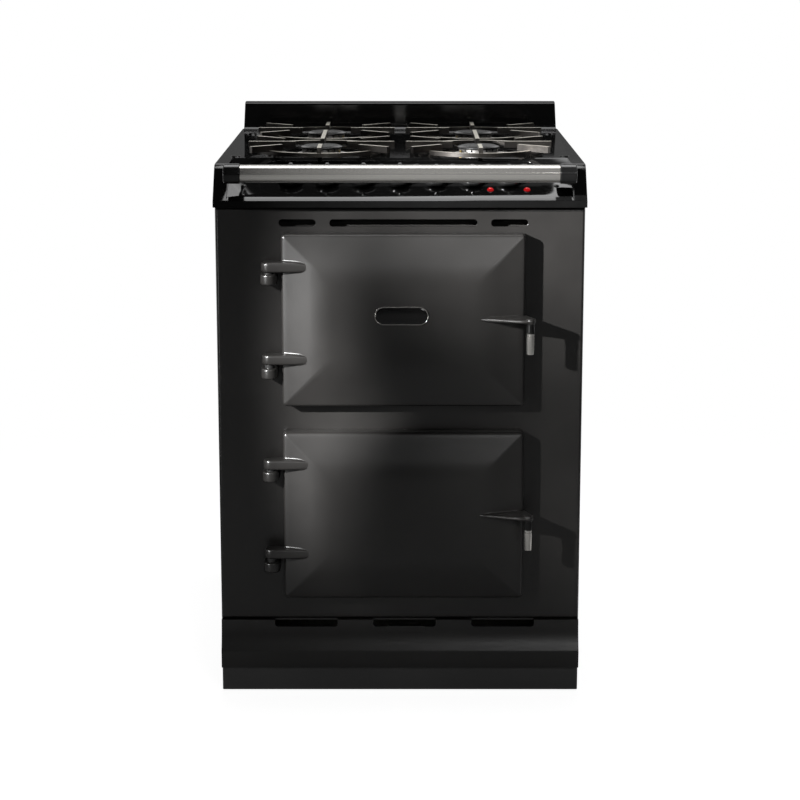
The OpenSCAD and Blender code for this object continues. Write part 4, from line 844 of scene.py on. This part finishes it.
# %% Rounded copies
ROUNDING = {
    "hob_top": 2.0, "splashback": 3.0, "control_panel": 0.8, "rail_brackets": 3.0, "front_plate": 2.0,
    "lower_moulding": 1.4, "moulding_tab": 0.7, "plinth": 0.5,
    "pan_support_left": 1.3, "pan_support_right": 1.3, "burner_bases": 0.8,
    "burner_cap_1": 0.9, "burner_cap_2": 0.9, "burner_cap_3": 0.9, "burner_cap_4": 0.9,
    "hob_fixing_caps": 0.4, "side_panel_left": 0.7, "side_panel_right": 0.7,
}
for node, width in ROUNDING.items():
    soften(node, width)
print("rounded", len(ROUNDING), "pieces")

# %% [markdown]
# ## The studio
# Black enamel is drawn by what it reflects, so the studio matters as much as the finish. The
# camera sees pure white all round. Metal and gloss see that white backdrop too, low behind the
# cooker. In front of it the room is dark, because the photograph's black deck and apron reflect
# a dark room.


# %% Floor and world seen as white
def seen_by(tree, mask):
    """1 for camera and transmission rays, and the mask's value for glossy rays."""
    rays = add(tree, "LightPath")
    glossy = add(tree, "Math", operation="MULTIPLY")
    first = add(tree, "Math", operation="MAXIMUM")
    second = add(tree, "Math", operation="MAXIMUM")
    chain(tree, (rays.outputs["Is Glossy Ray"], glossy.inputs[0]), (mask, glossy.inputs[1]),
          (rays.outputs["Is Camera Ray"], first.inputs[0]),
          (rays.outputs["Is Transmission Ray"], first.inputs[1]),
          (first.outputs[0], second.inputs[0]), (glossy.outputs[0], second.inputs[1]))
    return second.outputs[0]


def ramp(tree, source, low, high):
    """A smooth step of a value from 0 at low to 1 at high."""
    step = add(tree, "MapRange", interpolation_type="SMOOTHERSTEP")
    step.inputs["From Min"].default_value = low
    step.inputs["From Max"].default_value = high
    chain(tree, (source, step.inputs["Value"]))
    return step.outputs[0]


def product(tree, first, second):
    """Two values multiplied."""
    node = add(tree, "Math", operation="MULTIPLY")
    chain(tree, (first, node.inputs[0]), (second, node.inputs[1]))
    return node.outputs[0]


# %% Floor
FLOOR_SIZE, FLOOR_PALE, FLOOR_ROUGH = 400, (0.8, 0.8, 0.8, 1), 0.9
NEAR_WHITE = 0.92
SHADOW_FROM, SHADOW_TO = 0.7, 1.9
BEHIND_FROM, BEHIND_TO = 0.6, 1.6


def floor_material():
    """White to the camera with the cooker's soft shadow; a plain pale floor to the lamps. Gloss
    sees it white only from BEHIND_FROM to BEHIND_TO metres behind the cooker and beyond."""
    material = bpy.data.materials.new("floor_paint")
    material.use_nodes = True
    tree = material.node_tree
    plain = tree.nodes["Principled BSDF"]
    plain.inputs["Base Color"].default_value = FLOOR_PALE
    plain.inputs["Roughness"].default_value = FLOOR_ROUGH
    place = add(tree, "TexCoord")
    split = add(tree, "SeparateXYZ")
    reach = add(tree, "VectorMath", operation="LENGTH")
    near_light = add(tree, "Emission", Strength=NEAR_WHITE)
    near_paint = add(tree, "BsdfDiffuse", Color=(1, 1, 1, 1))
    near = add(tree, "AddShader")
    far = add(tree, "Emission", Strength=1.0)
    white = add(tree, "MixShader")
    mix = add(tree, "MixShader")
    chain(tree, (place.outputs["Object"], split.inputs[0]), (place.outputs["Object"], reach.inputs[0]),
          (near_light.outputs[0], near.inputs[0]), (near_paint.outputs[0], near.inputs[1]),
          (ramp(tree, reach.outputs["Value"], SHADOW_FROM, SHADOW_TO), white.inputs[0]),
          (near.outputs[0], white.inputs[1]), (far.outputs[0], white.inputs[2]),
          (seen_by(tree, ramp(tree, split.outputs["Y"], BEHIND_FROM, BEHIND_TO)), mix.inputs[0]),
          (plain.outputs[0], mix.inputs[1]), (white.outputs[0], mix.inputs[2]),
          (mix.outputs[0], tree.nodes["Material Output"].inputs["Surface"]))
    return material


bpy.ops.mesh.primitive_plane_add(size=FLOOR_SIZE)
floor = bpy.context.object
floor.name = "floor"
floor.data.materials.append(floor_material())
floor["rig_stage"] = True
print("floor", tuple(round(v) for v in floor.dimensions))

# %% [markdown]
# The world is white at full strength for the camera. Gloss sees it white in a band behind the
# cooker, between two heights, and everything else is lit by a very dim room.

# %% World
ROOM_LEVEL = 0.02
BAND_LOW, BAND_LOW_FULL, BAND_FULL, BAND_HIGH = 0.16, 0.30, 0.48, 0.62
BAND_FLOOR = 0.08
BAND_BEHIND = 0.4
world = bpy.data.worlds.new("studio")
scene.world = world
world.use_nodes = True
tree = world.node_tree
white = tree.nodes["Background"]
white.inputs["Color"].default_value = (1, 1, 1, 1)
white.inputs["Strength"].default_value = 1.0
room = add(tree, "Background", Color=(1, 1, 1, 1), Strength=ROOM_LEVEL)
way = add(tree, "TexCoord")
split = add(tree, "SeparateXYZ")
mix = add(tree, "MixShader")
chain(tree, (way.outputs["Generated"], split.inputs[0]))
low_edge = ramp(tree, split.outputs["Z"], BAND_LOW, BAND_LOW_FULL)
low_edge.node.inputs["To Min"].default_value = BAND_FLOOR
back = ramp(tree, split.outputs["Y"], 0.0, BAND_BEHIND)
behind = product(tree, product(tree, back, low_edge), ramp(tree, split.outputs["Z"], BAND_HIGH, BAND_FULL))
chain(tree, (seen_by(tree, behind), mix.inputs[0]),
      (room.outputs[0], mix.inputs[1]), (white.outputs[0], mix.inputs[2]),
      (mix.outputs[0], tree.nodes["World Output"].inputs["Surface"]))
print("room level", ROOM_LEVEL)


# %% Kinds of lamp
SPOT_RADIUS = 0.05


def aim(name, data, place, target, power):
    """Puts a lamp at a place, turned towards a target. Its outline isn't seen in the picture."""
    data.energy = power
    lamp = bpy.data.objects.new(name, data)
    lamp.location = place
    lamp.rotation_euler = (Vector(target) - Vector(place)).to_track_quat("-Z", "Y").to_euler()
    lamp.visible_camera = False
    scene.collection.objects.link(lamp)
    return lamp


def panel(name, place, target, width, height, power):
    """A rectangular soft lamp."""
    data = bpy.data.lights.new(name, "AREA")
    data.shape = "RECTANGLE"
    data.size, data.size_y = width, height
    return aim(name, data, place, target, power)


def spot(name, place, target, cone, power, tall=1.0):
    """A hard lamp with a cone of light that fades from its middle; tall stretches it upwards."""
    data = bpy.data.lights.new(name, "SPOT")
    data.spot_size, data.spot_blend, data.shadow_soft_size = math.radians(cone), 1.0, SPOT_RADIUS
    lamp = aim(name, data, place, target, power)
    lamp.scale = (1.0, tall, 1.0)
    return lamp


# %% [markdown]
# Three narrow spots from one stand at the left draw the glow at the upper right, the margin
# beside the lower door and the doors' left slopes, and throw the doors' shadows. A low panel at
# the left is mirrored by the left slopes, a high one far in front by the top slopes and the
# moulding's nose, and one overhead by the tops of the supports.

# %% Lamps
KEY = (-2.46, -2.36, 1.95)
spot("key", KEY, (0.34, -0.28, 0.87), 12.5, 3500)
spot("key_low", KEY, (0.54, -0.28, 0.26), 8.5, 1100)
spot("key_left", KEY, (-0.145, -0.31, 0.55), 2.1, 4000, tall=5.6)
panel("left_panel", (-2.7, -3.1, 0.35), (0, -0.3, 0.5), 0.7, 0.7, 11)
panel("high_panel", (1.5, -4.7, 2.25), (0.1, -0.3, 0.45), 1.6, 0.5, 18)
panel("over", (0.0, 0.05, 1.95), (0, 0.05, 0.9), 0.8, 0.8, 8)
print("lamps", len(bpy.data.lights))

# %% Sizes and end
low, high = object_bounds()
